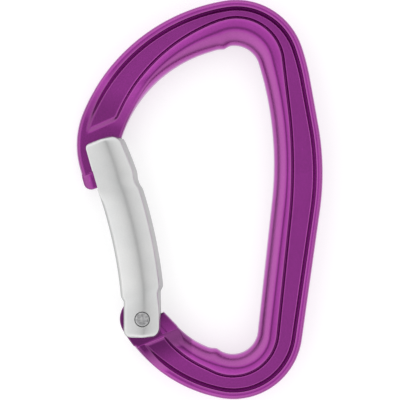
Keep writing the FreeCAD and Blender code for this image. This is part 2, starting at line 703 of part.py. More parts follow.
def draw_head_cut(sketch):
    """Plan of the T-head and a part of the neck."""
    draw_polygon(sketch, [
        fixed(NOSE_LEFT, NOSE_BELOW), fixed(NOSE_RIGHT, NOSE_BELOW),
        fixed(NOSE_RIGHT, HEAD_ABOVE), fixed(NOSE_LEFT, HEAD_ABOVE),
    ])


def draw_neck_cut(sketch):
    """Plan of the neck: from the ramp's foot down to the shoulders of the T-head."""
    outline = Outline(sketch)
    radius = size("head_high_radius")
    low_left = above(PIVOT, radius, NOSE_LEFT)
    low_right = above(PIVOT, radius, NOSE_RIGHT)
    high_right, right_x, right_y = ramp_foot(NOSE_RIGHT)
    high_left, left_x, left_y = ramp_foot(NOSE_LEFT)
    right_edge = outline.line(low_right, high_right)
    outline.corner()
    outline.line(high_right, high_left)
    outline.corner()
    left_edge = outline.line(high_left, low_left)
    outline.corner()
    arc_edge = outline.arc(PIVOT, radius, turn_of(PIVOT, low_left), turn_of(PIVOT, low_right))
    outline.corner()
    outline.join()
    outline.place(right_edge, END, right_x, right_y)
    outline.place(left_edge, START, left_x, left_y)
    outline.place_x(right_edge, START, str(NOSE_RIGHT))
    outline.place_x(left_edge, END, str(NOSE_LEFT))
    outline.place(arc_edge, CENTRE, cell("pivot_x"), cell("pivot_y"))
    outline.radius(arc_edge, cell("head_high_radius"))


def draw_ramp(sketch):
    """Side view of what lies over the nose's ramp: along the nose from the ramp's foot, and up."""
    low = size("neck_thickness") / 2
    high = size("frame_thickness") / 2
    length = size("ramp_length")
    low_text = cell("neck_thickness") + " / 2"
    high_text = cell("frame_thickness") + " / 2"
    top = high + RAMP_ABOVE
    top_text = f"{high_text} + {RAMP_ABOVE}"
    draw_polygon(sketch, [
        (Vector(RAMP_BELOW, low, 0), str(RAMP_BELOW), low_text),
        (Vector(0, low, 0), "0", low_text),
        (Vector(length, high, 0), cell("ramp_length"), high_text),
        (Vector(length, top, 0), cell("ramp_length"), top_text),
        (Vector(RAMP_BELOW, top, 0), str(RAMP_BELOW), top_text),
    ])


def cut_ramp(body):
    """Ease the flanges down to the neck, above and below."""
    side = new_sketch(body, "ramp_side", "YZ_Plane")
    turned = Rotation(Vector(0, 1, 0), size("ramp_slope"))
    side.AttachmentOffset = Placement(Vector(size("ramp_y"), 0, size("ramp_x")), turned)
    draw_ramp(side)
    slot(body, side, "ramp", str(RAMP_WIDTH))
    mirror_below(body, body.Tip)


def draw_tang_cut(sketch):
    """Plan of the tang, up to the shelf where the frame thickens."""
    draw_polygon(sketch, [
        tang_shelf(TANG_LEFT), tang_shelf(TANG_RIGHT),
        fixed(TANG_RIGHT, TANG_ABOVE), fixed(TANG_LEFT, TANG_ABOVE),
    ])


def half_difference(outer, inner):
    """How deep to cut from each face to go from one thickness to another, as an expression."""
    return f"({cell(outer)} - {cell(inner)}) / 2"


def make_frame():
    """The forged frame: spine, rope ends, nose with its T-head, and tang."""
    body = new_body("frame")
    plan = new_sketch(body, "frame_plan")
    outside, rope_side = draw_frame(plan)
    pad(body, plan, "blank", cell("frame_thickness"))
    half = size("frame_thickness") / 2
    round_edges(body, "rope_round", edges_over(body.Tip.Shape, plan, rope_side, half), cell("rope_round"))
    round_edges(body, "outside_round", edges_over(body.Tip.Shape, plan, outside, half),
                cell("outside_round"))
    top = cell("frame_thickness") + " / 2"
    cuts = [
        ("web", draw_web, "web_thickness", f"{cell('wall_draft')} * 1 deg"),
        ("head", draw_head_cut, "head_thickness", None),
        ("neck", draw_neck_cut, "neck_thickness", None),
        ("tang", draw_tang_cut, "neck_thickness", None),
    ]
    for name, draw, thickness, draft in cuts:
        sketch = new_sketch(body, name + "_plan", height=f"{cell(thickness)} / 2")
        draw(sketch)
        recess(body, sketch, name, half_difference("frame_thickness", thickness), draft)
    cut_ramp(body)
    hole = new_sketch(body, "pivot_hole_plan")
    radius = size("pivot_radius") + size("running_gap")
    draw_circle(hole, PIVOT, radius, cell("pivot_x"), cell("pivot_y"),
                cell("pivot_radius") + " + " + cell("running_gap"))
    slot(body, hole, "pivot_hole", cell("frame_thickness"))
    body.setExpression("Placement.Base.z", top)
    return body


def draw_gate_section(sketch):
    """The gate's rounded section, and the axis of its bow. The section faces along the gate."""
    outline = Outline(sketch)
    outer_x = size("bow_x") + size("bow_radius")
    left = outer_x - size("gate_width")
    half = size("gate_thickness") / 2
    round_radius = size("gate_round")
    centres = [
        (Vector(outer_x - round_radius, half - round_radius, 0), 0),
        (Vector(left + round_radius, half - round_radius, 0), 90),
        (Vector(left + round_radius, round_radius - half, 0), 180),
        (Vector(outer_x - round_radius, round_radius - half, 0), 270),
    ]
    rounds = []
    sides = []
    for (centre, turn), (following, next_turn) in zip(centres, centres[1:] + centres[:1]):
        rounds.append(outline.arc(centre, round_radius, turn, turn + 90))
        sides.append(outline.line(outline.end, polar(following, round_radius, next_turn)))
    outline.join()
    top_side, left_side, bottom_side, right_side = sides
    sketch.addConstraint(Sketcher.Constraint("Horizontal", top_side))
    sketch.addConstraint(Sketcher.Constraint("Horizontal", bottom_side))
    sketch.addConstraint(Sketcher.Constraint("Vertical", left_side))
    sketch.addConstraint(Sketcher.Constraint("Vertical", right_side))
    for edge in rounds:
        outline.radius(edge, cell("gate_round"))
    outline.place_x(right_side, START, f"{cell('bow_x')} + {cell('bow_radius')}")
    outline.place_x(left_side, START, f"{cell('bow_x')} + {cell('bow_radius')} - {cell('gate_width')}")
    outline.place_y(top_side, START, cell("gate_thickness") + " / 2")
    outline.place_y(bottom_side, START, "-" + cell("gate_thickness") + " / 2")
    bow_axis = Part.LineSegment(Vector(size("bow_x"), -1, 0), Vector(size("bow_x"), 1, 0))
    axis = sketch.addGeometry(bow_axis, True)
    outline.place(axis, START, cell("bow_x"), "-1")
    outline.place(axis, END, cell("bow_x"), "1")


def bow_point(radius, y):
    """A point on one side of the bowed gate, at a given y, measured from the pivot."""
    centre = Vector(size("bow_x"), size("bow_y"), 0)
    return Vector(centre.x + math.sqrt(radius**2 - (y - centre.y) ** 2), y, 0)


def draw_gate_plan(sketch):
    """The gate's plan, inside a frame that stands clear of it: what lies between them is cut away."""
    outline = Outline(sketch)
    bow = Vector(size("bow_x"), size("bow_y"), 0)
    inner = size("bow_radius")
    outer = inner - size("gate_width")
    right_x = size("cheek_right_x")
    left_x = size("cheek_left_x")
    end_y = size("cheek_end_y")
    right_round = size("cheek_right_round")
    left_round = size("cheek_left_round")
    step = size("cheek_step")
    right_start = bow_point(inner, size("cheek_right_y") + step)
    left_end = bow_point(outer, size("cheek_left_y") + step)
    pad_point = bow_point(outer, size("pad_y"))
    lip = Vector(size("lip_x"), size("lip_y"), 0)

    # The top corner's round touches the bow from inside, and the top edge from below.
    corner_radius = size("gate_corner_radius")
    top_turn = size("gate_top_slope") + 90
    top_reach = polar(Vector(), 1, top_turn).dot(lip)
    across = top_reach - corner_radius - polar(Vector(), 1, top_turn).dot(bow)
    along = math.sqrt((inner - corner_radius) ** 2 - across**2)
    corner = bow + polar(Vector(), across, top_turn) + polar(Vector(), along, top_turn - 90)

    right_corner = Vector(right_x - right_round, end_y + right_round, 0)
    left_corner = Vector(left_x + left_round, end_y + left_round, 0)
    right_edge = outline.line(polar(right_corner, right_round, 0), Vector(right_x, size("cheek_right_y"), 0))
    outline.corner()
    right_step = outline.line(outline.end, right_start)
    outline.corner()
    inner_edge = outline.arc(bow, inner, turn_of(bow, right_start), turn_of(bow, corner))
    corner_edge = outline.arc(corner, corner_radius, turn_of(bow, corner), top_turn)
    top_edge = outline.line(outline.end, lip)
    outline.corner()
    lip_edge = outline.line(lip, pad_point)
    outline.corner()
    outer_edge = outline.arc(bow, outer, turn_of(bow, pad_point), turn_of(bow, left_end))
    outline.corner()
    outline.line(left_end, Vector(left_x, size("cheek_left_y"), 0))
    outline.corner()
    left_edge = outline.line(outline.end, polar(left_corner, left_round, 180))
    left_round_edge = outline.arc(left_corner, left_round, 180, 270)
    end_edge = outline.line(outline.end, polar(right_corner, right_round, 270))
    right_round_edge = outline.arc(right_corner, right_round, 270, 360)
    outline.join()

    outline.place(inner_edge, CENTRE, cell("bow_x"), cell("bow_y"))
    outline.place(outer_edge, CENTRE, cell("bow_x"), cell("bow_y"))
    outline.radius(inner_edge, cell("bow_radius"))
    outline.radius(outer_edge, f"{cell('bow_radius')} - {cell('gate_width')}")
    outline.radius(corner_edge, cell("gate_corner_radius"))
    outline.radius(left_round_edge, cell("cheek_left_round"))
    outline.radius(right_round_edge, cell("cheek_right_round"))
    outline.place(right_edge, END, cell("cheek_right_x"), cell("cheek_right_y"))
    outline.place(left_edge, START, cell("cheek_left_x"), cell("cheek_left_y"))
    sketch.addConstraint(Sketcher.Constraint("Vertical", right_edge))
    sketch.addConstraint(Sketcher.Constraint("Vertical", left_edge))
    sketch.addConstraint(Sketcher.Constraint("Horizontal", end_edge))
    outline.place_y(end_edge, START, cell("cheek_end_y"))
    outline.place_y(right_step, END, f"{cell('cheek_right_y')} + {cell('cheek_step')}")
    outline.place_y(outer_edge, START, f"{cell('cheek_left_y')} + {cell('cheek_step')}")
    outline.place_y(outer_edge, END, cell("pad_y"))
    outline.place(lip_edge, START, cell("lip_x"), cell("lip_y"))
    outline.slope(top_edge, f"({cell('gate_top_slope')} - 180)")
    surround = Outline(sketch)
    for start, end in zip(GATE_SURROUND, GATE_SURROUND[1:] + GATE_SURROUND[:1]):
        surround.line(Vector(*start, 0), Vector(*end, 0))
        surround.corner()
    surround.join()
    for (edge, _, _), (x, y) in zip(surround.edges, GATE_SURROUND):
        surround.place(edge, START, str(x), str(y))


def draw_hinge_slot(sketch):
    """Plan of the slot between the hinge cheeks, which takes the tang."""
    left, low = -CLEAR_OF_GATE, -CLEAR_OF_GATE
    high = size("slot_top")
    draw_polygon(sketch, [
        fixed(left, low), fixed(CLEAR_OF_GATE, low),
        (Vector(CLEAR_OF_GATE, high, 0), str(CLEAR_OF_GATE), cell("slot_top")),
        (Vector(left, high, 0), str(left), cell("slot_top")),
    ])


def draw_nose_slot(sketch):
    """Plan of the slot that takes the nose's neck. It is open to the outer side and to the top."""
    low = Vector(size("nose_slot_low_x"), size("nose_slot_low_y"), 0)
    high = Vector(size("nose_slot_high_x"), size("nose_slot_high_y"), 0)
    low_y = cell("nose_slot_low_y")
    high_y = cell("nose_slot_high_y")
    draw_polygon(sketch, [
        (low, cell("nose_slot_low_x"), low_y),
        (high, cell("nose_slot_high_x"), high_y),
        (Vector(NOSE_CLEAR_X, high.y, 0), str(NOSE_CLEAR_X), high_y),
        (Vector(NOSE_CLEAR_X, low.y, 0), str(NOSE_CLEAR_X), low_y),
    ])


def draw_head_pocket(sketch):
    """Plan of the pocket for the T-head: two arcs about the pivot, open to the outer side."""
    outline = Outline(sketch)
    middle = Vector()
    gap = size("nose_gap")
    low_radius = size("head_low_radius") - gap
    high_radius = size("head_high_radius") + gap
    low_wall = above(middle, low_radius, size("head_inner_x") + gap)
    high_wall = above(middle, high_radius, size("pocket_high_x"))
    low_open = above(middle, low_radius, NOSE_CLEAR_X)
    high_open = above(middle, high_radius, NOSE_CLEAR_X)
    wall_edge = outline.line(low_wall, high_wall)
    outline.corner()
    high_edge = outline.arc(middle, high_radius, turn_of(middle, high_wall), turn_of(middle, high_open))
    outline.corner()
    open_edge = outline.line(high_open, low_open)
    outline.corner()
    low_edge = outline.arc(middle, low_radius, turn_of(middle, low_open), turn_of(middle, low_wall))
    outline.corner()
    outline.join()
    outline.radius(low_edge, f"{cell('head_low_radius')} - {cell('nose_gap')}")
    outline.radius(high_edge, f"{cell('head_high_radius')} + {cell('nose_gap')}")
    for edge in (low_edge, high_edge):
        sketch.addConstraint(Sketcher.Constraint("Coincident", edge, CENTRE, -1, 1))
    outline.place_x(wall_edge, START, f"{cell('head_inner_x')} + {cell('nose_gap')}")
    outline.place_x(wall_edge, END, cell("pocket_high_x"))
    for point in (START, END):
        outline.place_x(open_edge, point, str(NOSE_CLEAR_X))


def draw_rivet_profile(sketch):
    """Half of the rivet's section: shank, and a cone and a rim at each end."""
    half = size("rivet_length") / 2
    rim = half - size("rivet_head_height")
    cone = rim - size("rivet_cone_height")
    half_text = f"{cell('rivet_length')} / 2"
    rim_text = f"{half_text} - {cell('rivet_head_height')}"
    cone_text = f"{rim_text} - {cell('rivet_cone_height')}"
    shank = size("pivot_radius")
    head = size("rivet_head_radius")
    shank_text = cell("pivot_radius")
    head_text = cell("rivet_head_radius")
    upper = [(0, half, "0", half_text), (head, half, head_text, half_text),
             (head, rim, head_text, rim_text), (shank, cone, shank_text, cone_text)]
    lower = [(x, -z, x_text, f"-({z_text})") for x, z, x_text, z_text in reversed(upper)]
    corners = [(Vector(x, z, 0), x_text, z_text) for x, z, x_text, z_text in upper + lower]
    draw_polygon(sketch, corners)


def turn_round(body, sketch, name, axis, cuts, angle="360"):
    """Revolve a sketch about an axis, to start a body or to cut from it."""
    kind = "PartDesign::Groove" if cuts else "PartDesign::Revolution"
    before = body.Shape.Volume if cuts else 0
    feature = body.newObject(kind, name)
    feature.Profile = sketch
    feature.ReferenceAxis = axis
    feature.setExpression("Angle", angle)
    check_volume(before, feature, grows=not cuts)


def draw_bore(sketch):
    """Half of the spring bore's section, along its axis, which is the sketch's own line."""
    turn = size("bore_turn")
    radius = size("bore_radius")
    along_low = (size("slot_top") - BORE_OVERRUN) / math.sin(math.radians(turn))
    along_high = size("bore_end")
    base = polar(Vector(), size("bore_offset"), turn - 90)
    side = polar(Vector(), radius, turn - 90)
    angle = f"({cell('bore_turn')} * 1 deg)"
    low_text = f"({cell('slot_top')} - {BORE_OVERRUN}) / sin{angle}"

    def corner(along, along_text, across, across_text):
        place = base + polar(Vector(), along, turn) + side * across
        offset = f"({cell('bore_offset')} + {across_text})"
        x_text = f"{along_text} * cos{angle} + {offset} * sin{angle}"
        y_text = f"{along_text} * sin{angle} - {offset} * cos{angle}"
        return place, x_text, y_text

    high_text = cell("bore_end")
    draw_polygon(sketch, [
        corner(along_low, f"({low_text})", 0, "0"),
        corner(along_low, f"({low_text})", 1, cell("bore_radius")),
        corner(along_high, high_text, 1, cell("bore_radius")),
        corner(along_high, high_text, 0, "0"),
    ])


def make_gate():
    """The bent gate: a rounded bar swept about its bow, cut to its plan, then slotted and bored."""
    body = new_body("gate")
    section = new_sketch(body, "gate_section", "XZ_Plane", f"-{cell('bow_y')}")
    draw_gate_section(section)
    turn_round(body, section, "bar", (section, ["Axis0"]), cuts=False, angle=cell("bow_turn"))
    cuts = [
        ("gate_plan", draw_gate_plan, cell("gate_thickness") + " + 2"),
        ("hinge_slot", draw_hinge_slot, cell("slot_width")),
        ("nose_slot", draw_nose_slot, cell("slot_width")),
        ("head_pocket", draw_head_pocket, cell("pocket_width")),
    ]
    for name, draw, width in cuts:
        sketch = new_sketch(body, name + "_sketch")
        draw(sketch)
        slot(body, sketch, name, width)
    bore = new_sketch(body, "bore_section")
    draw_bore(bore)
    turn_round(body, bore, "spring_bore", (bore, ["Edge4"]), cuts=True)
    hole = new_sketch(body, "rivet_hole_section", "XZ_Plane")
    draw_rivet_profile(hole)
    turn_round(body, hole, "rivet_hole", (hole, ["V_Axis"]), cuts=True)
    return body


def make_rivet():
    """The rivet: a shank through the tang, peened into a countersink in each cheek."""
    body = new_body("gate_rivet")
    section = new_sketch(body, "rivet_section", "XZ_Plane")
    draw_rivet_profile(section)
    turn_round(body, section, "rivet", (section, ["V_Axis"]), cuts=False)
    return body


def draw_pusher_profile(sketch):
    """Half of the pusher's section, from the centre of its foot: ball, rod, head and pilot."""
    outline = Outline(sketch)
    foot = size("foot_radius")
    rod = size("pusher_rod_radius")
    head = size("pusher_head_radius")
    pilot = size("pusher_pilot_radius")
    seat = size("pusher_length")
    under = seat - size("pusher_head_height")
    tip = seat + size("pusher_pilot_height")
    rod_turn = math.degrees(math.acos(rod / foot))
    ball = outline.arc(Vector(), foot, -90, rod_turn)
    outline.corner()
    corners = [(rod, under), (head, under), (head, seat), (pilot, seat), (pilot, tip), (0, tip)]
    lines = []
    for x, y in corners + [(0, -foot)]:
        lines.append(outline.line(outline.end, Vector(x, y, 0)))
        outline.corner()
    outline.join()
    sketch.addConstraint(Sketcher.Constraint("Coincident", ball, CENTRE, -1, 1))
    outline.radius(ball, cell("foot_radius"))
    seat_text = cell("pusher_length")
    under_text = f"{seat_text} - {cell('pusher_head_height')}"
    tip_text = f"{seat_text} + {cell('pusher_pilot_height')}"
    rod_text, head_text = cell("pusher_rod_radius"), cell("pusher_head_radius")
    pilot_text = cell("pusher_pilot_radius")
    places = [(rod_text, under_text), (head_text, under_text), (head_text, seat_text),
              (pilot_text, seat_text), (pilot_text, tip_text), ("0", tip_text)]
    for line, (x_text, y_text) in zip(lines, places):
        outline.place(line, END, x_text, y_text)
    outline.place_x(lines[0], START, rod_text)
    outline.place_x(ball, START, "0")


def make_pusher():
    """The pusher: a pin with a ball foot on the tang and a head under the spring."""
    body = new_body("spring_pusher")
    section = new_sketch(body, "pusher_section", "XZ_Plane")
    draw_pusher_profile(section)
    turn_round(body, section, "pusher", (section, ["V_Axis"]), cuts=False)
    return body


def pusher_lean():
    """How far the pusher leans from the bore, shut: its head is on the bore's axis, its foot isn't."""
    across = (FOOT - PIVOT).dot(polar(Vector(), 1, size("bore_turn") - 90)) - size("bore_offset")
    head_middle = size("pusher_length") - size("pusher_head_height") / 2
    return math.degrees(math.asin(across / head_middle))


def spring_start():
    """Where the spring starts, along the bore, measured from the pivot."""
    foot_along = (FOOT - PIVOT).dot(polar(Vector(), 1, size("bore_turn")))
    seat = size("pusher_length") * math.cos(math.radians(pusher_lean()))
    return foot_along + seat + size("coil_gap")


def make_spring():
    """The compression spring, standing on its own origin, between the pusher and the bore's end."""
    body = new_body("gate_spring")
    wire = new_sketch(body, "wire_section", "XZ_Plane")
    draw_circle(wire, Vector(size("coil_radius"), size("wire_radius"), 0), size("wire_radius"),
                cell("coil_radius"), cell("wire_radius"), cell("wire_radius"))
    coil = body.newObject("PartDesign::AdditiveHelix", "coil")
    coil.Profile = wire
    coil.ReferenceAxis = (wire, ["V_Axis"])
    coil.Mode = "pitch-height-angle"
    coil.setExpression("Pitch", cell("coil_pitch"))
    start_text = f"{spring_start():.4f} + 2 * {cell('wire_radius')} + {cell('coil_gap')}"
    coil.setExpression("Height", f"{cell('bore_end')} - ({start_text})")
    check_volume(0, coil, grows=True)
    return body


def place_on_pivot(body):
    """Stand a piece on the pivot, half way up the frame."""
    body.setExpression("Placement.Base.x", cell("pivot_x"))
    body.setExpression("Placement.Base.y", cell("pivot_y"))
    body.setExpression("Placement.Base.z", cell("frame_thickness") + " / 2")


def lay_along(body, start, turn):
    """Lay a piece down, half way up the frame: its own Z axis goes from start along a direction."""
    lying = Rotation(Vector(0, 0, 1), polar(Vector(), 1, turn))
    body.Placement = Placement(start + Vector(0, 0, MIDDLE), lying)


def make_carabiner():
    """Make each piece in its place, with the gate shut."""
    frame = make_frame()
    gate = make_gate()
    place_on_pivot(gate)
    rivet = make_rivet()
    place_on_pivot(rivet)
    pusher = make_pusher()
    lay_along(pusher, FOOT, size("bore_turn") + pusher_lean())
    spring = make_spring()
    bore_start = PIVOT + polar(Vector(), size("bore_offset"), size("bore_turn") - 90)
    lay_along(spring, bore_start + polar(Vector(), spring_start(), size("bore_turn")), size("bore_turn"))
    return [frame, gate, rivet, pusher, spring]


def check_document():
    """Stop if any feature failed."""
    for item in document.Objects:
        if "Invalid" in item.State or "Error" in item.State:
            raise RuntimeError(f"{item.Name}: {item.State}")


def export(bodies):
    """Write one STEP file for each piece, named by its label."""
    os.makedirs("parts", exist_ok=True)
    for body in bodies:
        if body.Shape.isNull() or not body.Shape.isValid() or len(body.Shape.Solids) != 1:
            raise RuntimeError(f"{body.Label} isn't one valid solid")
        body.Shape.exportStep(f"parts/{body.Label}.step")


pieces = make_carabiner()
document.recompute()
check_document()
export(pieces)
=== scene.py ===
import math

import bmesh
import bpy
import numpy as np
from mathutils import Matrix, Vector


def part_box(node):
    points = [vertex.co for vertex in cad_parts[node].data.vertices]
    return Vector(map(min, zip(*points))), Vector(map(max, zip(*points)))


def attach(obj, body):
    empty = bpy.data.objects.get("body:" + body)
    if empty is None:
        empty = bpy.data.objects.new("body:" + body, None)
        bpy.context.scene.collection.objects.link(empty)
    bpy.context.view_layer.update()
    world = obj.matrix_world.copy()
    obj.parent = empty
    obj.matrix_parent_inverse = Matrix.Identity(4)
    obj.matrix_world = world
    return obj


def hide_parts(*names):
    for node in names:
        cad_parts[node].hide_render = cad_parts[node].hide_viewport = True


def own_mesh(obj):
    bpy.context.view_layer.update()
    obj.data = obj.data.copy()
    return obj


# Plan sizes below are in millimetres in the row frame; meshes are made in metres.
MM = 0.001

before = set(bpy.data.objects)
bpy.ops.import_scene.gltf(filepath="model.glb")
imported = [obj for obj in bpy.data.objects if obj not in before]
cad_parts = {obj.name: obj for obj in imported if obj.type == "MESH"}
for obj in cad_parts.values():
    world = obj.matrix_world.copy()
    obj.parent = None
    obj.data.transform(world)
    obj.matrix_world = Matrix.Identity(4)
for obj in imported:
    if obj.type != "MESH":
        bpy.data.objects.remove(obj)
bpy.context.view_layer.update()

PIVOT = np.array([-14.65, -30.6])

# Half thicknesses: over the flanges, of the web, of the nose's neck, of the forging's end inside the tang, and
# of the tang.
MIDDLE = sum(c.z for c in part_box("frame")) / 2 / MM
HALF = MIDDLE
WEB_HALF = 1.8
NECK_HALF = 2.23
TANG_HALF = 2.1
TANG_TOP = 2.2

# The frame's section. Each round is its width and its drop, and the leans are how far the edges bulge.
LEAN = 0.28
ROPE_LEAN = 0.12
OUTER_ROUND = (1.05, 0.85)
END_ROUND = (0.9, 0.7)
NECK_ROUND = (0.8, 0.6)
FLANGE_EDGE = 1.3
FLANGE_CROWN = 0.24
RIB_CROWN = 0.28
ROPE_DROP = 3.3
ROPE_POWER = 1.65
LEAST_ROPE_ROUND = 0.8
FLANGE_WIDTH = 2.2
FLANGE_GAIN = 0.55
NARROWEST = 0.56
WALL_HALF = 0.62
NOSE_WALL_GAIN = 0.42

# Circles that each plan curve follows, clockwise from the nose round to the tang: centre x, centre y, radius.
# They were fitted to the photo's lines by least squares, then rounded, and some were adjusted.
OUTER = [(-9.82, 14.01, 21.8), (14.1, 3.82, 47.8), (9.35, 33.34, 17.9), (-30.79, 19.99, 60.2),
         (-37.87, 6.74, 69.5), (8.6, -33.34, 17.9), (12.1, -14.61, 36.95)]
INNER = [(12.15, 5.4, 33.75), (8.89, 32.89, 6.55), (-68.55, 8.97, 87.6), (8.54, -33.26, 6.4),
         (9.9, -18.0, 21.3)]
RIB = [(19.82, 3.98, 44.36), (9.42, 34.48, 12.06), (-105.7, 8.14, 129.5), (8.48, -33.58, 11.61),
       (12.71, -17.34, 28.1)]
CREST = [(17.09, 5.27, 39.4), (9.08, 34.01, 9.75), (-76.5, 8.67, 98.9), (9.15, -34.07, 8.9),
         (11.6, -17.6, 25.6)]

# The forging's small steps on the inner edge, one at each rope end.
CUSPS = [np.array([4.3, -38.4]), np.array([6.2, 39.0])]
CUSP_HEIGHT = 0.4
CUSP_REACH = 1.1

# The nose and the tang.
NOSE_SHOULDER = 4.4
NOSE_SLOPE = math.radians(-74.4)
BEAK_SLOPE = math.radians(134.2)
BEAK = np.array([-9.2, -28.91])
BEAK_TOP = np.array([-10.65, -29.70])
FOOT = (3.35, 1.45)
FOOT_RADIUS = 0.8
FOOT_PLAY = 0.05
TANG_SHELF = 5.5
TANG_SHELF_TURN = math.radians(-67.8)
HEAD_TURN = math.radians(106.8)
HEAD_TOP = 39.9
NOSE_CUT = 37.4
RAMP_FOOT = np.array([-27.8, 20.4])
RAMP_SLOPE = math.radians(-14.0)
RAMP_LENGTH = 13.0
RAMP_ROUND = 2.0
RECESS_END = np.array([-27.6, 17.1])
RECESS_END_TURN = math.radians(113.0)
RECESS_END_WIDTH = 1.6

# How deep the painted shade is, from 0 to 1, on the tang, on the neck and in a dark line along the rope side's
# crest.
TANG_PAINTED_SHADE = 0.6
NECK_PAINTED_SHADE = 0.28
CREST_PAINTED_SHADE = 0.34
CREST_LINE = 0.28


def smooth(x):
    """0 below 0, 1 above 1, and a smooth step between."""
    x = np.clip(x, 0, 1)
    return x * x * (3 - 2 * x)


def steep(x):
    """As smooth, but steeper in the middle, with longer rounds at its foot and its shoulder."""
    sharpness = 2.6
    x = np.clip(x, 0, 1)
    return 0.5 + 0.5 * np.tanh(sharpness * (2 * x - 1)) / math.tanh(sharpness)


def soft_min(a, b, reach):
    """The lower of two heights, with the corner between them rounded."""
    h = np.clip(0.5 + 0.5 * (b - a) / reach, 0, 1)
    return b * (1 - h) + a * h - reach * h * (1 - h)


def round_off(distance, width, drop):
    """How far a surface falls near an edge: a quarter of an ellipse."""
    x = 1 - np.clip(distance / width, 0, 1)
    return drop * (1 - np.sqrt(np.maximum(1 - x * x, 0)))


def direction(turn):
    return np.array([math.cos(turn), math.sin(turn)])


# Plan curves.


def chain(circles, start_turn, end_turn):
    """Points along circles joined by their common tangents, clockwise between two outward directions."""
    step = 0.1
    turns = [start_turn]
    for (ax, ay, ar), (bx, by, br) in zip(circles, circles[1:]):
        gap = math.hypot(bx - ax, by - ay)
        tilt = math.degrees(math.acos(max(-1, min(1, (ar - br) / gap))))
        turn = math.degrees(math.atan2(by - ay, bx - ax)) + tilt
        while turn > turns[-1] + 1e-6:
            turn -= 360
        turns.append(turn)
    turns.append(end_turn)
    points, normals = [], []
    for (cx, cy, radius), first, last in zip(circles, turns, turns[1:]):
        count = max(2, int(abs(math.radians(first - last)) * radius / step))
        angles = np.radians(np.linspace(first, last, count))
        out = np.column_stack([np.cos(angles), np.sin(angles)])
        points.append(np.array([cx, cy]) + radius * out)
        normals.append(out)
    return np.vstack(points), np.vstack(normals)


def lengths(points):
    return np.concatenate([[0], np.cumsum(np.linalg.norm(np.diff(points, axis=0), axis=1))])


def along(points, at):
    """The points of a polyline at given lengths along it."""
    total = lengths(points)
    return np.column_stack([np.interp(at, total, points[:, k]) for k in (0, 1)])


def crossing(origins, ways, line):
    """How far along each ray, from its origin, it first meets a polyline, within the frame's width."""
    nearest, farthest = 1.0, 20.0
    a, b = line[:-1], line[1:]
    found = np.full(len(origins), np.nan)
    for i, (o, w) in enumerate(zip(origins, ways)):
        side_a = (a[:, 0] - o[0]) * w[1] - (a[:, 1] - o[1]) * w[0]
        side_b = (b[:, 0] - o[0]) * w[1] - (b[:, 1] - o[1]) * w[0]
        hits = np.nonzero(side_a * side_b <= 0)[0]
        if len(hits) == 0:
            continue
        share = side_a[hits] / (side_a[hits] - side_b[hits] + 1e-12)
        place = a[hits] + (b[hits] - a[hits]) * share[:, None]
        reach = (place - o) @ w
        reach = reach[(reach > nearest) & (reach < farthest)]
        if len(reach):
            found[i] = reach.min()
    known = np.nonzero(~np.isnan(found))[0]
    return np.interp(np.arange(len(found)), known, found[known])


def resample_normals(points, normals, at):
    """The outward directions of a polyline at given lengths along it."""
    total = lengths(points)
    out = np.column_stack([np.interp(at, total, normals[:, k]) for k in (0, 1)])
    return out / np.linalg.norm(out, axis=1)[:, None]


# Meshes.


def make_object(name, vertices, faces, smooth_angle=40):
    mesh = bpy.data.meshes.new(name)
    mesh.from_pydata([tuple(v) for v in vertices], [], faces)
    mesh.validate()
    mesh.update()
    piece = bpy.data.objects.new(name, mesh)
    bpy.context.scene.collection.objects.link(piece)
    fix_normals(piece)
    shade(piece, smooth_angle)
    return piece


def store(piece, name, values):
    """Keep a number at each of a piece's points, for its material."""
    attribute = piece.data.attributes.new(name, "FLOAT", "POINT")
    attribute.data.foreach_set("value", np.ascontiguousarray(values, dtype=np.float32))


def fix_normals(piece):
    """Turn every face outward."""
    work = bmesh.new()
    work.from_mesh(piece.data)
    bmesh.ops.recalc_face_normals(work, faces=work.faces)
    work.to_mesh(piece.data)
    work.free()


def shade(piece, smooth_angle):
    """Smooth shading, with a crease wherever two faces meet at more than the angle. Large faces stay flat."""
    limit = math.radians(smooth_angle)
    large = 0.8 * MM ** 2
    mesh = piece.data
    mesh.shade_smooth()
    for face in mesh.polygons:
        face.use_smooth = face.area < large
    work = bmesh.new()
    work.from_mesh(mesh)
    for edge in work.edges:
        edge.smooth = not (len(edge.link_faces) == 2 and edge.calc_face_angle(0) > limit)
    work.to_mesh(mesh)
    work.free()


def skin(rings):
    """Faces over rings of points, each ring closed, and caps on the first and last ones."""
    count, size = rings.shape[:2]
    faces = []
    for i in range(count - 1):
        for j in range(size):
            k = (j + 1) % size
            faces.append((i * size + j, i * size + k, (i + 1) * size + k, (i + 1) * size + j))
    faces.append(tuple(range(size))[::-1])
    faces.append(tuple((count - 1) * size + j for j in range(size)))
    return rings.reshape(-1, 3), faces


def boolean(piece, other, operation):
    """Join another solid to a piece, or cut it away, and remove the other."""
    modifier = piece.modifiers.new("cut", "BOOLEAN")
    modifier.operation = operation
    modifier.solver = "EXACT"
    modifier.object = other
    apply_modifiers(piece)
    bpy.data.objects.remove(other)


def apply_modifiers(piece):
    """Swap a piece's mesh for the result of its modifiers."""
    bpy.context.view_layer.update()
    graph = bpy.context.evaluated_depsgraph_get()
    result = bpy.data.meshes.new_from_object(piece.evaluated_get(graph))
    piece.modifiers.clear()
    old = piece.data
    piece.data = result
    bpy.data.meshes.remove(old)


def soften(piece, rounds):
    """Round a solid's sharp edges, as tumbling does."""
    remesh = piece.modifiers.new("remesh", "REMESH")
    remesh.mode = "VOXEL"
    remesh.voxel_size = 0.14 * MM
    rounding = piece.modifiers.new("rounding", "SMOOTH")
    rounding.factor = 0.5
    rounding.iterations = rounds
    apply_modifiers(piece)


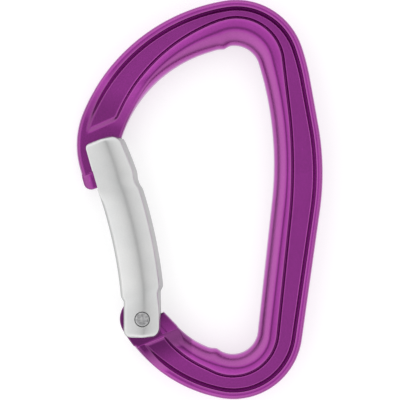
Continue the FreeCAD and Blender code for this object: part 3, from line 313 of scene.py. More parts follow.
def slim(t_head):
    """Thin the T-head towards its outer side, which is rounded like the nose."""
    side_x, side_y, side_lean = 30.3, 6.0, 0.25
    reach, share, power = 2.6, 0.32, 1.8
    for vertex in t_head.data.vertices:
        x, y, z = np.array(vertex.co) / MM
        from_side = x + side_x - side_lean * (side_y - y)
        keep = 1 - share * (1 - min(max(from_side / reach, 0), 1)) ** power
        vertex.co.z = (MIDDLE + (z - MIDDLE) * keep) * MM


def cut_flat(work, point, way):
    """Cut a closed mesh at a plane, in millimetres. way points out of the part that is kept."""
    everything = work.verts[:] + work.edges[:] + work.faces[:]
    place = [c * MM for c in point]
    cut = bmesh.ops.bisect_plane(
        work, geom=everything, dist=1e-9, plane_co=place, plane_no=way, clear_outer=True)
    rim = [item for item in cut["geom_cut"] if isinstance(item, bmesh.types.BMEdge)]
    bmesh.ops.edgenet_fill(work, edges=rim)


def plane(point, turn):
    """A vertical plane through a point in the plan, facing a direction."""
    return (point[0], point[1], 0), (math.cos(turn), math.sin(turn), 0)


def trim(piece, planes):
    """Cut a closed piece at each plane."""
    work = bmesh.new()
    work.from_mesh(piece.data)
    for point, way in planes:
        cut_flat(work, point, way)
    bmesh.ops.recalc_face_normals(work, faces=work.faces)
    work.to_mesh(piece.data)
    work.free()


def cad_part(name, node, planes):
    """A closed copy of the part of a CAD node that lies behind some planes."""
    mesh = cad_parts[node].data.copy()
    mesh.name = name
    mesh.materials.clear()
    piece = bpy.data.objects.new(name, mesh)
    bpy.context.scene.collection.objects.link(piece)
    work = bmesh.new()
    work.from_mesh(mesh)
    bmesh.ops.remove_doubles(work, verts=work.verts, dist=1e-7)
    work.to_mesh(mesh)
    work.free()
    trim(piece, planes)
    return piece


def prism(name, outline, half):
    """A vertical prism on an outline in the plan, measured from the pivot, through the middle."""
    low = np.column_stack([outline + PIVOT, np.full(len(outline), MIDDLE - half)])
    high = np.column_stack([outline + PIVOT, np.full(len(outline), MIDDLE + half)])
    vertices, faces = skin(np.stack([low, high]) * MM)
    return make_object(name, vertices, faces)


def shift(x, y, z):
    return Matrix.Translation((x * MM, y * MM, z * MM))


def arc(centre, radius, first, last, count):
    angles = np.radians(np.linspace(first, last, count))
    return np.array(centre) + radius * np.column_stack([np.cos(angles), np.sin(angles)])


def turned(name, profile, count=64):
    """A solid turned about the Z axis. The profile is its radius and height, from one end to the other."""
    angles = np.linspace(0, 2 * math.pi, count, endpoint=False)
    rings = [[(r * math.cos(a), r * math.sin(a), z) for a in angles] for r, z in profile]
    vertices, faces = skin(np.array(rings) * MM)
    return make_object(name, vertices, faces)


# The frame.


def frame_rows():
    """Where the frame's outer edge and inner edge are, at each station, and its keys across."""
    coarse, fine = 0.5, 0.17
    nose_reach, tail_reach = 26, 13
    outer, outward = chain(OUTER, 195.6, -148.0)
    side = outer[0] + direction(NOSE_SLOPE) * np.linspace(NOSE_SHOULDER, 0, 30)[:, None]
    outer = np.vstack([side[:-1], outer])
    outward = np.vstack([np.tile(direction(NOSE_SLOPE - math.pi / 2), (len(side) - 1, 1)), outward])
    total = lengths(outer)[-1]
    stations = np.concatenate([
        np.arange(0, nose_reach, fine),
        np.arange(nose_reach, total - tail_reach, coarse),
        np.arange(total - tail_reach, total, fine),
    ])
    edge = along(outer, stations)
    ways = -resample_normals(outer, outward, stations)

    inner, _ = chain(INNER, 173.63, -135.8)
    neck = np.linspace([-21.95, 4.14], inner[0], 12)[:-1]
    beak = inner[-1] + direction(BEAK_SLOPE) * np.linspace(0, 9.0, 40)[1:, None]
    inner = np.vstack([neck, inner, beak])
    depth = crossing(edge, ways, inner)
    for cusp in CUSPS:
        away = np.linalg.norm(edge + ways * depth[:, None] - cusp, axis=1)
        depth = depth + CUSP_HEIGHT * np.exp(-(away / CUSP_REACH) ** 2)
    rib = crossing(edge, ways, chain(RIB, 190, -160)[0])
    crest = crossing(edge, ways, chain(CREST, 190, -160)[0])
    return edge, ways, depth, rib, crest, stations


def flange_width(at, total):
    """Middle of the outer flange's wall, in from the outer edge: narrowest half way down the spine."""
    share = np.clip(at / total, 0, 1)
    return FLANGE_WIDTH + FLANGE_GAIN * np.abs(share - NARROWEST) ** 1.3 / NARROWEST ** 1.3


def full_height(depth, keys):
    """Half thickness of the crowned flange and rib along most of the frame, with the rope side's round."""
    width, flange, rib, crest, _ = keys
    rope_round = np.maximum(width - crest, LEAST_ROPE_ROUND)
    outer_crown = FLANGE_CROWN * np.clip((depth - FLANGE_EDGE) / (flange - FLANGE_EDGE), 0, 1) ** 1.4
    rib_crown = RIB_CROWN * np.clip((crest - depth) / (crest - rib), 0, 1) ** 1.35
    crown = np.where(depth < (flange + rib) / 2, outer_crown, rib_crown)
    past_crest = np.clip((depth - crest) / (rope_round - ROPE_LEAN), 0, 1)
    rope_drop = ROPE_DROP * (1 - np.maximum(1 - past_crest ** ROPE_POWER, 0) ** (1 / ROPE_POWER))
    return HALF - crown - round_off(depth - LEAN, *OUTER_ROUND) - rope_drop


def nose_height(rise, depth, width):
    """Half thickness of the nose: flanges that ease down to the neck, which has its own rounded edges."""
    neck_edge = round_off(depth - LEAN, *END_ROUND) + round_off(width - ROPE_LEAN - depth, *NECK_ROUND)
    slope = (HALF - NECK_HALF) / RAMP_LENGTH
    return NECK_HALF + slope * 0.5 * (rise + np.sqrt(rise ** 2 + RAMP_ROUND)) - neck_edge


def tail_height(from_shelf, depth, across):
    """Half thickness beside the tang: it rises from the tang, and rises sooner towards the rope side."""
    lead, lag = 0.2, 2.2
    length, saving = 8.0, 2.8
    share = (from_shelf + lead - lag * (1 - across)) / (length - saving * across)
    shelf = TANG_TOP + (HALF - TANG_TOP) * smooth(share)
    return np.where(from_shelf < 0, TANG_HALF, shelf - round_off(depth - LEAN, *END_ROUND))


def frame_height(place, depth, keys):
    """Half thickness of the frame and depth of its painted shade at each point, by distance from the outer
    edge.
    """
    width, flange, rib, crest, wall = keys
    nose = (place[..., 1] > 0) & (place[..., 0] < -12)
    tail = (place[..., 1] < -28) & (place[..., 0] < -2)
    rise = (place - RAMP_FOOT) @ direction(RAMP_SLOPE + math.pi / 2)
    from_shelf = (place - PIVOT) @ direction(TANG_SHELF_TURN) - TANG_SHELF

    height = full_height(depth, keys)
    height = np.where(nose, soft_min(height, nose_height(rise, depth, width), 0.4), height)
    across = smooth((depth - flange) / (rib - flange))
    height = np.where(tail, soft_min(height, tail_height(from_shelf, depth, across), 0.15), height)

    # The web's recess: its forged walls, its sloping end at the nose, and its floor's rise to the tang.
    inside = steep((depth - flange + wall) / (2 * wall)) * steep((rib + wall - depth) / (2 * wall))
    from_end = (place - RECESS_END) @ direction(RECESS_END_TURN)
    inside = inside * np.where(nose, smooth(from_end / RECESS_END_WIDTH), 1)
    end_slope = smooth((1.6 - from_shelf) / 1.4)
    floor = WEB_HALF + np.where(tail, 0.45 * end_slope, 0)
    floor = np.minimum(floor, height)

    # Painted shade: darkest on the recess walls, also at both ends and as a painted dark line along the crest,
    # but left off the tail's lit slope.
    on_wall = (inside * (1 - inside) * 4) ** 1.3
    dye_and_painted_shade = on_wall * np.clip((height - floor) / (HALF - WEB_HALF), 0, 1) ** 1.5
    unshaded_slope = 3.2 * end_slope * (1 - end_slope) * inside
    ends = np.where(tail, TANG_PAINTED_SHADE * (1 - unshaded_slope) * (1 - smooth((from_shelf - 2.0) / 6.5)), 0)
    ends = ends + np.where(nose, NECK_PAINTED_SHADE * (1 - smooth((rise - 2.0) / 9.0)), 0)
    crease = CREST_PAINTED_SHADE * np.exp(-((depth - crest) / CREST_LINE) ** 2)
    crease = crease * np.where(nose, smooth((rise - 5.0) / 6.0), 1)
    crease = crease * np.where(tail, smooth((from_shelf - 2.0) / 4.0), 1)
    dye_and_painted_shade = dye_and_painted_shade + (ends + crease) * (1 - dye_and_painted_shade)
    return height * (1 - inside) + floor * inside, dye_and_painted_shade


def spread(start, end, count):
    """Shares between two keys, without the last one."""
    return start[:, None] + (end - start)[:, None] * (np.arange(count) / count)[None, :]


def rounded(start, end, count, toward_end):
    """As spread, but closer together at one end, where a rounded edge turns steep."""
    share = np.arange(count) / count
    share = np.sin(share * math.pi / 2) if toward_end else 1 - np.cos(share * math.pi / 2)
    return start[:, None] + (end - start)[:, None] * share[None, :]


def make_tang():
    """The tang: a flat tongue round the pivot, with the pusher's socket and the beak beside it."""
    heel = np.array(OUTER[-1][:2]) - PIVOT
    beak, beak_top = BEAK - PIVOT, BEAK_TOP - PIVOT
    bevel = 0.3
    down = direction(BEAK_SLOPE - math.pi)
    inset = direction(BEAK_SLOPE + math.pi / 2) * bevel
    outline = np.vstack([
        arc((0, 0), 4.3, 66, 90, 8),
        arc((0, 0), 5.78, 131.9, 210.9, 28),
        arc(heel, 36.95, 211.2, 218.4, 12),
        arc(heel, 36.6, 219.0, 220.0, 3),
        [beak + down * 6.6 + inset, beak + down * 5.4 + inset, beak + down * 5.0],
        [beak, beak_top],
        arc(FOOT, FOOT_RADIUS + FOOT_PLAY, -18, -198, 16),
    ])
    turns = np.roll(outline, -1, axis=0) - np.roll(outline, 1, axis=0)
    inward = np.column_stack([-turns[:, 1], turns[:, 0]]) / np.linalg.norm(turns, axis=1)[:, None]
    profile = [(-1, bevel), (-0.96, 0.1), (-0.86, 0), (0.86, 0), (0.96, 0.1), (1, bevel)]
    rings = []
    for share, inset_by in profile:
        level = np.full(len(outline), MIDDLE + share * TANG_TOP)
        rings.append(np.column_stack([outline + inward * inset_by + PIVOT, level]))
    vertices, faces = skin(np.array(rings) * MM)
    tang = make_object("tang", vertices, faces)
    hole = turned("pivot_hole", [(1.5, -6.0), (1.5, 6.0)])
    hole.data.transform(shift(PIVOT[0], PIVOT[1], MIDDLE))
    boolean(tang, hole, "DIFFERENCE")
    return tang


def paint_shade_on_ends(forging):
    """Give the tang and the T-head the painted shade of the frame's ends that they join."""
    mesh = forging.data
    place = np.empty(3 * len(mesh.vertices), dtype=np.float32)
    mesh.vertices.foreach_get("co", place)
    place = place.reshape(-1, 3)[:, :2] / MM
    x, y = place[:, 0], place[:, 1]
    attribute = mesh.attributes["dye_and_painted_shade"].data
    dye_and_painted_shade = np.empty(len(attribute), dtype=np.float32)
    attribute.foreach_get("value", dye_and_painted_shade)
    before_shelf = (place - PIVOT) @ direction(TANG_SHELF_TURN) < TANG_SHELF
    before_neck = (place - PIVOT) @ direction(HEAD_TURN) < NOSE_CUT + 0.2
    dye_and_painted_shade[before_shelf & (x < -8.0) & (y < -22.0)] = TANG_PAINTED_SHADE
    dye_and_painted_shade[before_neck & (x < -15.0) & (y > 0)] = NECK_PAINTED_SHADE
    attribute.foreach_set("value", dye_and_painted_shade)


def side_points(edge, ways, height, middle, lean):
    """Points down the side of the outer or inner edge, which bulges to the parting line in its middle."""
    shares = np.linspace(1, -1, 10)[1:-1]
    reach = middle[:, None] + lean * shares[None, :] ** 2
    x_y = edge[:, None, :] + ways[:, None, :] * reach[..., None]
    z = MIDDLE + height[:, None] * shares[None, :]
    return np.concatenate([x_y, z[..., None]], axis=2)


def section_depths(width, flange, rib, crest, wall):
    """Where each ring has its points, from the outer edge to the inner one: closer together on the rounds."""
    first = np.full_like(width, LEAN)
    last = width - ROPE_LEAN
    return np.hstack([
        rounded(first, first + OUTER_ROUND[0], 9, False),
        spread(first + OUTER_ROUND[0], flange - wall, 4),
        spread(flange - wall, flange + wall, 14),
        spread(flange + wall, rib - wall, 20),
        spread(rib - wall, rib + wall, 14),
        spread(rib + wall, crest, 4),
        rounded(crest, last, 16, True),
        last[:, None],
    ])


def make_forging():
    """The forging without its tang and its T-head: rings round the section, all along the frame."""
    edge, ways, width, rib, crest, at = frame_rows()
    flange = flange_width(at, at[-1])
    wall = WALL_HALF + NOSE_WALL_GAIN * (1 - smooth((at - NOSE_SHOULDER - 10) / 16))
    rib = np.clip(rib, flange + 2 * wall + 0.4, width - 1.6)
    crest = np.clip(crest, rib + wall + 0.1, width - 1.0)
    depth = section_depths(width, flange, rib, crest, wall)
    place = edge[:, None, :] + ways[:, None, :] * depth[..., None]
    keys = [key[:, None] for key in (width, flange, rib, crest, wall)]
    height, dye_and_painted_shade = frame_height(place, depth, keys)
    top = np.concatenate([place, (MIDDLE + height)[..., None]], axis=2)
    bottom = np.concatenate([place, (MIDDLE - height)[..., None]], axis=2)

    inner_side = side_points(edge, ways, height[:, -1], width, -ROPE_LEAN)
    outer_side = side_points(edge, ways, height[:, 0], 0 * width, LEAN)
    rings = np.concatenate([top, inner_side, bottom[:, ::-1], outer_side[:, ::-1]], axis=1)
    vertices, faces = skin(rings * MM)
    forging = make_object("frame_forging", vertices, faces)
    # The painted shade goes on the top and bottom faces; the sides get none.
    blank = np.zeros((len(dye_and_painted_shade), inner_side.shape[1]))
    dye_and_painted_shade = np.concatenate([dye_and_painted_shade, blank, dye_and_painted_shade[:, ::-1], blank], axis=1)
    store(forging, "dye_and_painted_shade", dye_and_painted_shade.ravel())
    return forging


def block(along_way, near, far, across, half):
    """A rectangle's outline: between two distances from the pivot along one direction, and its half width."""
    top, low = along_way * near, along_way * far
    side = across * half
    return np.array([top - side, top + side, low + side, low - side])


def make_frame():
    """The frame as one solid: the forging with square-cut ends, joined to the tang and to the T-head."""
    forging = make_forging()
    shelf = direction(TANG_SHELF_TURN)
    head = direction(HEAD_TURN)
    tail_end = block(shelf, TANG_SHELF - 0.9, -9, direction(TANG_SHELF_TURN + math.pi / 2), 14)
    nose_end = block(head, NOSE_CUT, 28, direction(HEAD_TURN - math.pi / 2), 9)
    boolean(forging, prism("tail_end", tail_end, 8), "DIFFERENCE")
    boolean(forging, prism("nose_end", nose_end, 8), "DIFFERENCE")
    t_head = cad_part("t_head", "frame", [
        plane(PIVOT + head * HEAD_TOP, HEAD_TURN),
        plane((-15, 0), -math.pi / 2),
        plane((-15, 0), 0),
    ])
    soften(t_head, 22)
    slim(t_head)
    boolean(forging, make_tang(), "UNION")
    boolean(forging, t_head, "UNION")
    paint_shade_on_ends(forging)
    shade(forging, 50)
    return forging


body = make_frame()
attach(body, "frame")
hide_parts("frame")


# The gate, in millimetres from the pivot.

BOW = np.array([-120.7, -5.0])
BOW_INNER = 126.7
BOW_OUTER = 115.7
CHEEK_LEFT = -4.75
CHEEK_RIGHT = 4.65
GATE_END = -4.75
LIP = np.array([-14.7, 44.65])
LIP_RADIUS = 1.5
CORNER_RADIUS = 3.2
RELIEF_DEPTH = 0.45
RIDGE = 0.55
TOP_SLOPE = math.radians(20)
GATE_HALF = 4.58
SLOT_HALF = 2.35
POCKET_HALF = 3.7
POCKET_LOW = 35.2
POCKET_HIGH = 39.9
BORE_TURN = math.radians(98.7)
BORE_OFFSET = 2.85
BORE_END = 26.0
BORE_RADIUS = 1.8
SHANK_RADIUS = 1.45


def bow(radius, low, high, count):
    """Points up one side of the bow, between two heights."""
    y = np.linspace(low, high, count)
    return np.column_stack([BOW[0] + np.sqrt(radius ** 2 - (y - BOW[1]) ** 2), y])


def corner_centre(radius):
    """Centre of the round at the gate's top inner corner: it touches the bow and the top edge."""
    top_way = direction(TOP_SLOPE + math.pi / 2)
    across = top_way @ (LIP - BOW) - radius
    along_way = direction(TOP_SLOPE)
    return BOW + top_way * across + along_way * math.sqrt((BOW_INNER - radius) ** 2 - across ** 2)


def gate_sides():
    """The gate's outer and inner side, from the hinge end to the nose end, point for point."""
    corner = corner_centre(CORNER_RADIUS)
    corner_start = math.degrees(math.atan2(*(corner - BOW)[::-1]))
    corner_foot = BOW + BOW_INNER * direction(math.radians(corner_start))
    waist = bow(BOW_OUTER, 33.0, 33.1, 2)[0]
    lean = math.degrees(math.atan2(LIP[1] - waist[1], LIP[0] - waist[0]))
    top_way = math.degrees(TOP_SLOPE) + 90
    lip_centre = corner_between(LIP, lean + 90, top_way, LIP_RADIUS)
    left = [
        arc((-2.95, -2.95), 1.8, 270, 180, 10)[:-1],
        np.linspace((CHEEK_LEFT, -2.95), (CHEEK_LEFT, 4.2), 14)[:-1],
        step_curve((CHEEK_LEFT, 4.2), bow(BOW_OUTER, 5.9, 6, 2)[0], 9)[:-1],
        bow(BOW_OUTER, 5.9, 33.0, 70)[:-1],
        np.linspace(waist, lip_centre + LIP_RADIUS * direction(math.radians(lean + 90)), 19)[:-1],
        arc(lip_centre, LIP_RADIUS, lean + 90, top_way, 12),
    ]
    right = [
        arc((2.05, -2.15), 2.6, 270, 360, 10)[:-1],
        np.linspace((CHEEK_RIGHT, -2.15), (CHEEK_RIGHT, 6.8), 14)[:-1],
        step_curve((CHEEK_RIGHT, 6.8), bow(BOW_INNER, 8.6, 9, 2)[0], 9)[:-1],
        bow(BOW_INNER, 8.6, 32.0, 70)[:-1],
        bow(BOW_INNER, 32.0, corner_foot[1], 19)[:-1],
        arc(corner, CORNER_RADIUS, corner_start, top_way, 12),
    ]
    left, right = np.vstack(left), np.vstack(right)
    right[:, 0] -= RELIEF_DEPTH * scallop(right[:, 1])
    return left, right


def scallop(y):
    """The share of the thumb relief's depth at each height of the gate's inner side, below the nose end."""
    return smooth((y - 33.3) / 1.4) * smooth((38.0 - y) / 2.4)


def corner_between(corner, first_normal, second_normal, radius):
    """Centre of a round that touches two lines through a corner, each given by its outward direction."""
    a, b = direction(math.radians(first_normal)), direction(math.radians(second_normal))
    return corner - radius * (a + b) / (1 + a @ b)


def step_curve(start, end, count):
    """A soft step between the cheek and the bowed part."""
    y = np.linspace(start[1], end[1], count)
    x = start[0] + (end[0] - start[0]) * smooth((y - start[1]) / (end[1] - start[1]))
    return np.column_stack([x, y])


def gate_height(place, across, width):
    """Half thickness of the gate: ridged along the bow, with a facet down each side."""
    y = place[..., 1]
    cheek = 1 - smooth((y - 1.0) / 8.0)
    over_head = smooth((y - 28.5) / 4.5)
    side = np.where(across < RIDGE, 1 - across / RIDGE, (across - RIDGE) / (1 - RIDGE))
    crown = GATE_HALF - (1.25 - 0.45 * cheek - 0.35 * over_head * (1 - across)) * side ** 1.5
    outer_edge = 2.3 + 0.8 * cheek + 1.5 * over_head
    outer_facet = outer_edge + 2.2 * across * width
    inner_facet = 1.7 + 1.4 * cheek + 1.95 * (1 - across) * width
    height = soft_min(crown, outer_facet, 0.5)
    height = soft_min(height, inner_facet, 0.22)
    from_end = y - GATE_END
    from_top = (LIP - place) @ direction(TOP_SLOPE + math.pi / 2)
    return height - round_off(from_end, *END_ROUND) - round_off(from_top, 1.0, 0.9)


def make_gate():
    """The gate: rings across it, from hinge end to nose end, with its slots, pocket and bore cut out."""
    left, right = gate_sides()
    shares = (1 - np.cos(np.linspace(0, math.pi, 49))) / 2
    place = left[:, None, :] + (right - left)[:, None, :] * shares[None, :, None]
    width = np.linalg.norm(right - left, axis=1)[:, None]
    height = gate_height(place, shares[None, :], width)
    top = np.concatenate([place, height[..., None]], axis=2)
    bottom = np.concatenate([place, -height[..., None]], axis=2)

    def side(column):
        levels = np.linspace(1, -1, 8)[1:-1]
        x_y = np.repeat(place[:, column, None, :], len(levels), axis=1)
        return np.concatenate([x_y, (height[:, column, None] * levels[None, :])[..., None]], axis=2)

    rings = np.concatenate([top, side(-1), bottom[:, ::-1], side(0)[:, ::-1]], axis=1)
    rings = rings + np.array([PIVOT[0], PIVOT[1], MIDDLE])
    vertices, faces = skin(rings * MM)
    gate = make_object("gate_bow", vertices, faces)
    for cutter in gate_cutters():
        boolean(gate, cutter, "DIFFERENCE")
    shade(gate, 35)
    return gate


def gate_cutters():
    """The hinge slot, the nose slot, the T-head's pocket, the spring bore and the rivet's countersinks."""
    slot = np.array([(-9, -9), (9, -9), (9, 4.5), (-9, 4.5)], float)
    nose = np.array([(-6.6, 37.5), (-4.6, 49.0), (-20, 49.0), (-20, 37.5)], float)
    high = np.degrees(np.arcsin(np.array([6.3, 20.0]) / POCKET_HIGH)) + 90
    low = np.degrees(np.arcsin(np.array([20.0, 7.0]) / POCKET_LOW)) + 90
    pocket = np.vstack([
        arc((0, 0), POCKET_HIGH, high[0], high[1], 20),
        arc((0, 0), POCKET_LOW, low[0], low[1], 20),
    ])
    bore = turned("bore", [(BORE_RADIUS, 3.0), (BORE_RADIUS, BORE_END), (0.02, BORE_END + 0.9)], 40)
    along_bore = Vector((math.cos(BORE_TURN), math.sin(BORE_TURN), 0))
    start = PIVOT + BORE_OFFSET * direction(BORE_TURN - math.pi / 2)
    bore.data.transform(along_bore.to_track_quat("Z", "Y").to_matrix().to_4x4())
    bore.data.transform(shift(start[0], start[1], MIDDLE))
    sink = [(1.98, 6.0), (1.98, 4.2), (SHANK_RADIUS + 0.01, 3.7)]
    countersink = turned("countersink", [(r, -z) for r, z in sink] + sink[::-1])
    countersink.data.transform(shift(PIVOT[0], PIVOT[1], MIDDLE))
    return [
        prism("slot", slot, SLOT_HALF),
        prism("nose", nose, SLOT_HALF),
        prism("pocket", pocket, POCKET_HALF),
        bore,
        countersink,
    ]


gate = make_gate()
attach(gate, "gate")
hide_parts("gate")


def make_rivet():
    """The rivet, with a shallow dish and a rolled rim on each peened head."""
    end = [(0.02, 4.36), (0.35, 4.37), (0.6, 4.44), (0.95, 4.5), (1.3, 4.52), (1.6, 4.49), (1.76, 4.4),
           (1.8, 4.28), (1.8, 4.2), (SHANK_RADIUS, 3.7)]
    profile = [(r, -z) for r, z in end] + end[::-1]
    rivet = turned("hinge_rivet", profile)
    rivet.data.transform(shift(PIVOT[0], PIVOT[1], MIDDLE))
    return rivet


rivet = make_rivet()
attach(rivet, "gate")
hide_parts("gate_rivet")


def make_coil():
    """The gate's spring, as its own piece, because the pusher shortens it when the gate opens."""
    coil = bpy.data.objects.new("gate_coil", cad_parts["gate_spring"].data.copy())
    bpy.context.scene.collection.objects.link(coil)
    return coil


coil = make_coil()
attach(coil, "gate")
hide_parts("gate_spring")
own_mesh(coil)


# Materials.


def new_material(name):
    material = bpy.data.materials.new(name)
    material.use_nodes = True
    nodes = material.node_tree.nodes
    return material, nodes, material.node_tree.links, nodes["Principled BSDF"]


def noise(nodes, links, coordinates, scale, detail=3.0):
    node = nodes.new("ShaderNodeTexNoise")
    node.inputs["Scale"].default_value = scale
    node.inputs["Detail"].default_value = detail
    links.new(coordinates, node.inputs["Vector"])
    return node.outputs["Fac"]


def grey(value):
    return (value, value, value)


def ramp(nodes, links, factor, stops):
    node = nodes.new("ShaderNodeValToRGB")
    elements = node.color_ramp.elements
    while len(elements) < len(stops):
        elements.new(0.5)
    for element, (place, colour) in zip(elements, stops):
        element.position = place
        element.color = (*colour, 1)
    links.new(factor, node.inputs["Fac"])
    return node.outputs["Color"]


def remap(nodes, links, factor, low, high):
    node = nodes.new("ShaderNodeMapRange")
    node.inputs["To Min"].default_value = low
    node.inputs["To Max"].default_value = high
    links.new(factor, node.inputs["Value"])
    return node.outputs["Result"]


def bump(nodes, links, height, strength, distance):
    node = nodes.new("ShaderNodeBump")
    node.inputs["Strength"].default_value = strength
    node.inputs["Distance"].default_value = distance
    links.new(height, node.inputs["Height"])
    return node.outputs["Normal"]


def facing(nodes, links, coordinates):
    """1 where a surface lies flat in the plan, and 0 where it stands upright."""
    split = nodes.new("ShaderNodeSeparateXYZ")
    links.new(coordinates.outputs["Normal"], split.inputs["Vector"])
    upright = nodes.new("ShaderNodeMath")
    upright.operation = "ABSOLUTE"
    links.new(split.outputs["Z"], upright.inputs[0])
    return upright.outputs["Value"]


def blend(nodes, links, kind, amount, first, second):
    """A mix of two colours. The amount, and each colour, is a socket or a value."""
    node = nodes.new("ShaderNodeMix")
    node.data_type = "RGBA"
    node.blend_type = kind
    for name, value in (("Factor", amount), ("A", first), ("B", second)):
        socket = [s for s in node.inputs if s.name == name and s.enabled][0]
        if isinstance(value, bpy.types.NodeSocket):
            links.new(value, socket)
        else:
            socket.default_value = value
    return [s for s in node.outputs if s.enabled][0]


def anodised():
    """Violet dye under a clear coat, with a painted highlight that pales the slopes, and painted shade that
    darkens it and thins the coat where the piece's painted shade is deep.
    """
    material, nodes, links, shader = new_material("violet_anodised")
    coordinates = nodes.new("ShaderNodeTexCoord")
    place = coordinates.outputs["Object"]
    blotch = noise(nodes, links, place, 90.0, 3.0)
    dye_and_painted_shade = ramp(nodes, links, blotch, [(0.3, (0.43, 0.024, 0.39)), (0.7, (0.48, 0.031, 0.44))])
    # Painted highlight: faces that slope gently are mixed towards a paler, pinker violet.
    slopes = [(0.3, grey(0)), (0.7, grey(0.75)), (0.94, grey(0.75)), (0.99, grey(0))]
    painted_slope_highlight = ramp(nodes, links, facing(nodes, links, coordinates), slopes)
    colour = blend(nodes, links, "MIX", painted_slope_highlight, dye_and_painted_shade, (0.32, 0.053, 0.27, 1))
    # Painted shade: the stored shade amount mixes the colour towards near-black violet and thins the coat.
    painted_shade_amount = nodes.new("ShaderNodeAttribute")
    painted_shade_amount.attribute_name = "dye_and_painted_shade"
    colour = blend(nodes, links, "MIX", painted_shade_amount.outputs["Fac"], colour, (0.05, 0.002, 0.05, 1))
    fine = noise(nodes, links, place, 2600.0, 4.0)
    grain = ramp(nodes, links, fine, [(0.3, grey(0.88)), (0.7, grey(1))])
    links.new(blend(nodes, links, "MULTIPLY", 1.0, colour, grain), shader.inputs["Base Color"])
    links.new(remap(nodes, links, fine, 0.2, 0.3), shader.inputs["Roughness"])
    links.new(bump(nodes, links, fine, 0.3, 0.00002), shader.inputs["Normal"])
    shader.inputs["Metallic"].default_value = 0.95
    shader.inputs["Specular Tint"].default_value = (0.7, 0.4, 0.7, 1)
    links.new(remap(nodes, links, painted_shade_amount.outputs["Fac"], 1.0, 0.2), shader.inputs["Coat Weight"])
    shader.inputs["Coat Roughness"].default_value = 0.22
    return material


def blasted():
    """Bare aluminium, finely blasted, with painted shade that darkens the gate's upright sides."""
    material, nodes, links, shader = new_material("blasted_aluminium")
    coordinates = nodes.new("ShaderNodeTexCoord")
    place = coordinates.outputs["Object"]
    blotch = noise(nodes, links, place, 160.0, 4.0)
    metal = ramp(nodes, links, blotch, [(0.3, (0.655, 0.66, 0.66)), (0.7, (0.70, 0.70, 0.695))])
    upright = facing(nodes, links, coordinates)
    # Painted shade: upright faces are darkened to less than half.
    painted_side_shade = ramp(nodes, links, upright, [(0.2, (0.42, 0.43, 0.43)), (0.7, grey(1))])
    colour = blend(nodes, links, "MULTIPLY", 1.0, metal, painted_side_shade)
    fine = noise(nodes, links, place, 4200.0, 2.0)
    grain = ramp(nodes, links, fine, [(0.3, grey(0.94)), (0.7, grey(1))])
    links.new(blend(nodes, links, "MULTIPLY", 1.0, colour, grain), shader.inputs["Base Color"])
    links.new(remap(nodes, links, fine, 0.27, 0.33), shader.inputs["Roughness"])
    links.new(bump(nodes, links, fine, 0.2, 0.00001), shader.inputs["Normal"])
    shader.inputs["Metallic"].default_value = 0.95
    return material


def steel(name, low, high):
    """Steel with a mottled surface, between two roughnesses."""
    material, nodes, links, shader = new_material(name)
    place = nodes.new("ShaderNodeTexCoord").outputs["Object"]
    blotch = noise(nodes, links, place, 1500.0, 4.0)
    colour = ramp(nodes, links, blotch, [(0.35, (0.26, 0.26, 0.27)), (0.65, (0.55, 0.55, 0.55))])
    links.new(colour, shader.inputs["Base Color"])
    links.new(remap(nodes, links, blotch, low, high), shader.inputs["Roughness"])
    links.new(bump(nodes, links, blotch, 0.5, 0.00006), shader.inputs["Normal"])
    shader.inputs["Metallic"].default_value = 1.0
    return material


def dress(piece, material):
    piece.data.materials.clear()
    piece.data.materials.append(material)


violet = anodised()
silver = blasted()
pin_steel = steel("peened_steel", 0.3, 0.45)
wire_steel = steel("bright_steel", 0.2, 0.35)
dress(body, violet)
dress(gate, silver)
dress(rivet, pin_steel)
dress(coil, wire_steel)
dress(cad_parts["spring_pusher"], wire_steel)


# Floor, lights and camera.


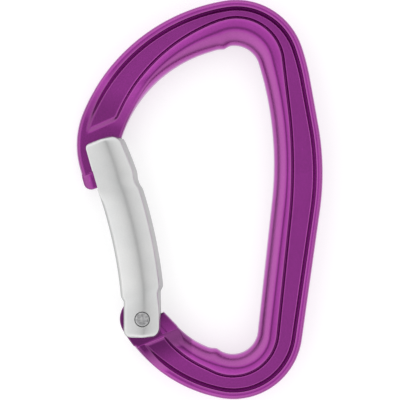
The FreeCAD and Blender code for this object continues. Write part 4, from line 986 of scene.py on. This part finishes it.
def make_floor():
    mesh = bpy.data.meshes.new("floor")
    reach = 1.5
    gap_below_part = 0.0002
    corners = [(-reach, -reach, 0), (reach, -reach, 0), (reach, reach, 0), (-reach, reach, 0)]
    mesh.from_pydata(corners, [], [(0, 1, 2, 3)])
    floor = bpy.data.objects.new("floor", mesh)
    floor.location.z = -gap_below_part
    bpy.context.scene.collection.objects.link(floor)
    material, nodes, links, shader = new_material("pale_floor")
    place = nodes.new("ShaderNodeTexCoord").outputs["Object"]
    grain = noise(nodes, links, place, 12.0)
    links.new(ramp(nodes, links, grain, [(0.3, grey(0.50)), (0.7, grey(0.53))]), shader.inputs["Base Color"])
    shader.inputs["Roughness"].default_value = 0.8
    shader.inputs["Emission Color"].default_value = (1, 1, 1, 1)
    shader.inputs["Emission Strength"].default_value = 0.58
    mesh.materials.append(material)


def make_world():
    """A light tent: soft white sides, the left one brighter, and dimmer overhead, where the camera is."""
    world = bpy.data.worlds.new("light_tent")
    bpy.context.scene.world = world
    world.use_nodes = True
    nodes, links = world.node_tree.nodes, world.node_tree.links
    split = nodes.new("ShaderNodeSeparateXYZ")
    links.new(nodes.new("ShaderNodeTexCoord").outputs["Generated"], split.inputs["Vector"])
    stops = [(0.0, 0.35), (0.12, 0.6), (0.3, 1.15), (0.75, 1.25), (0.92, 0.95), (0.98, 0.6), (0.997, 0.36)]
    height = ramp(nodes, links, split.outputs["Z"], [(place, grey(value)) for place, value in stops])
    across = nodes.new("ShaderNodeMapRange")
    across.inputs["From Min"].default_value = -1.0
    across.inputs["To Min"].default_value = 1.15
    across.inputs["To Max"].default_value = 0.85
    links.new(split.outputs["X"], across.inputs["Value"])
    links.new(height, nodes["Background"].inputs["Color"])
    links.new(across.outputs["Result"], nodes["Background"].inputs["Strength"])


def make_camera():
    """A long lens straight above the part, which lies flat."""
    seen_width = 0.1028
    aim_x, aim_y = 0.0001, -0.00014
    camera = bpy.data.objects.new("camera", bpy.data.cameras.new("camera"))
    camera.data.lens = 200
    camera.data.sensor_width = 36
    distance = seen_width * camera.data.lens / camera.data.sensor_width
    camera.location = (aim_x, aim_y, distance + MIDDLE * MM)
    camera.data.clip_start = 0.01
    camera.data.clip_end = 10
    bpy.context.scene.collection.objects.link(camera)
    bpy.context.scene.camera = camera


make_floor()
make_world()
make_camera()
bpy.context.scene.view_settings.view_transform = "Standard"
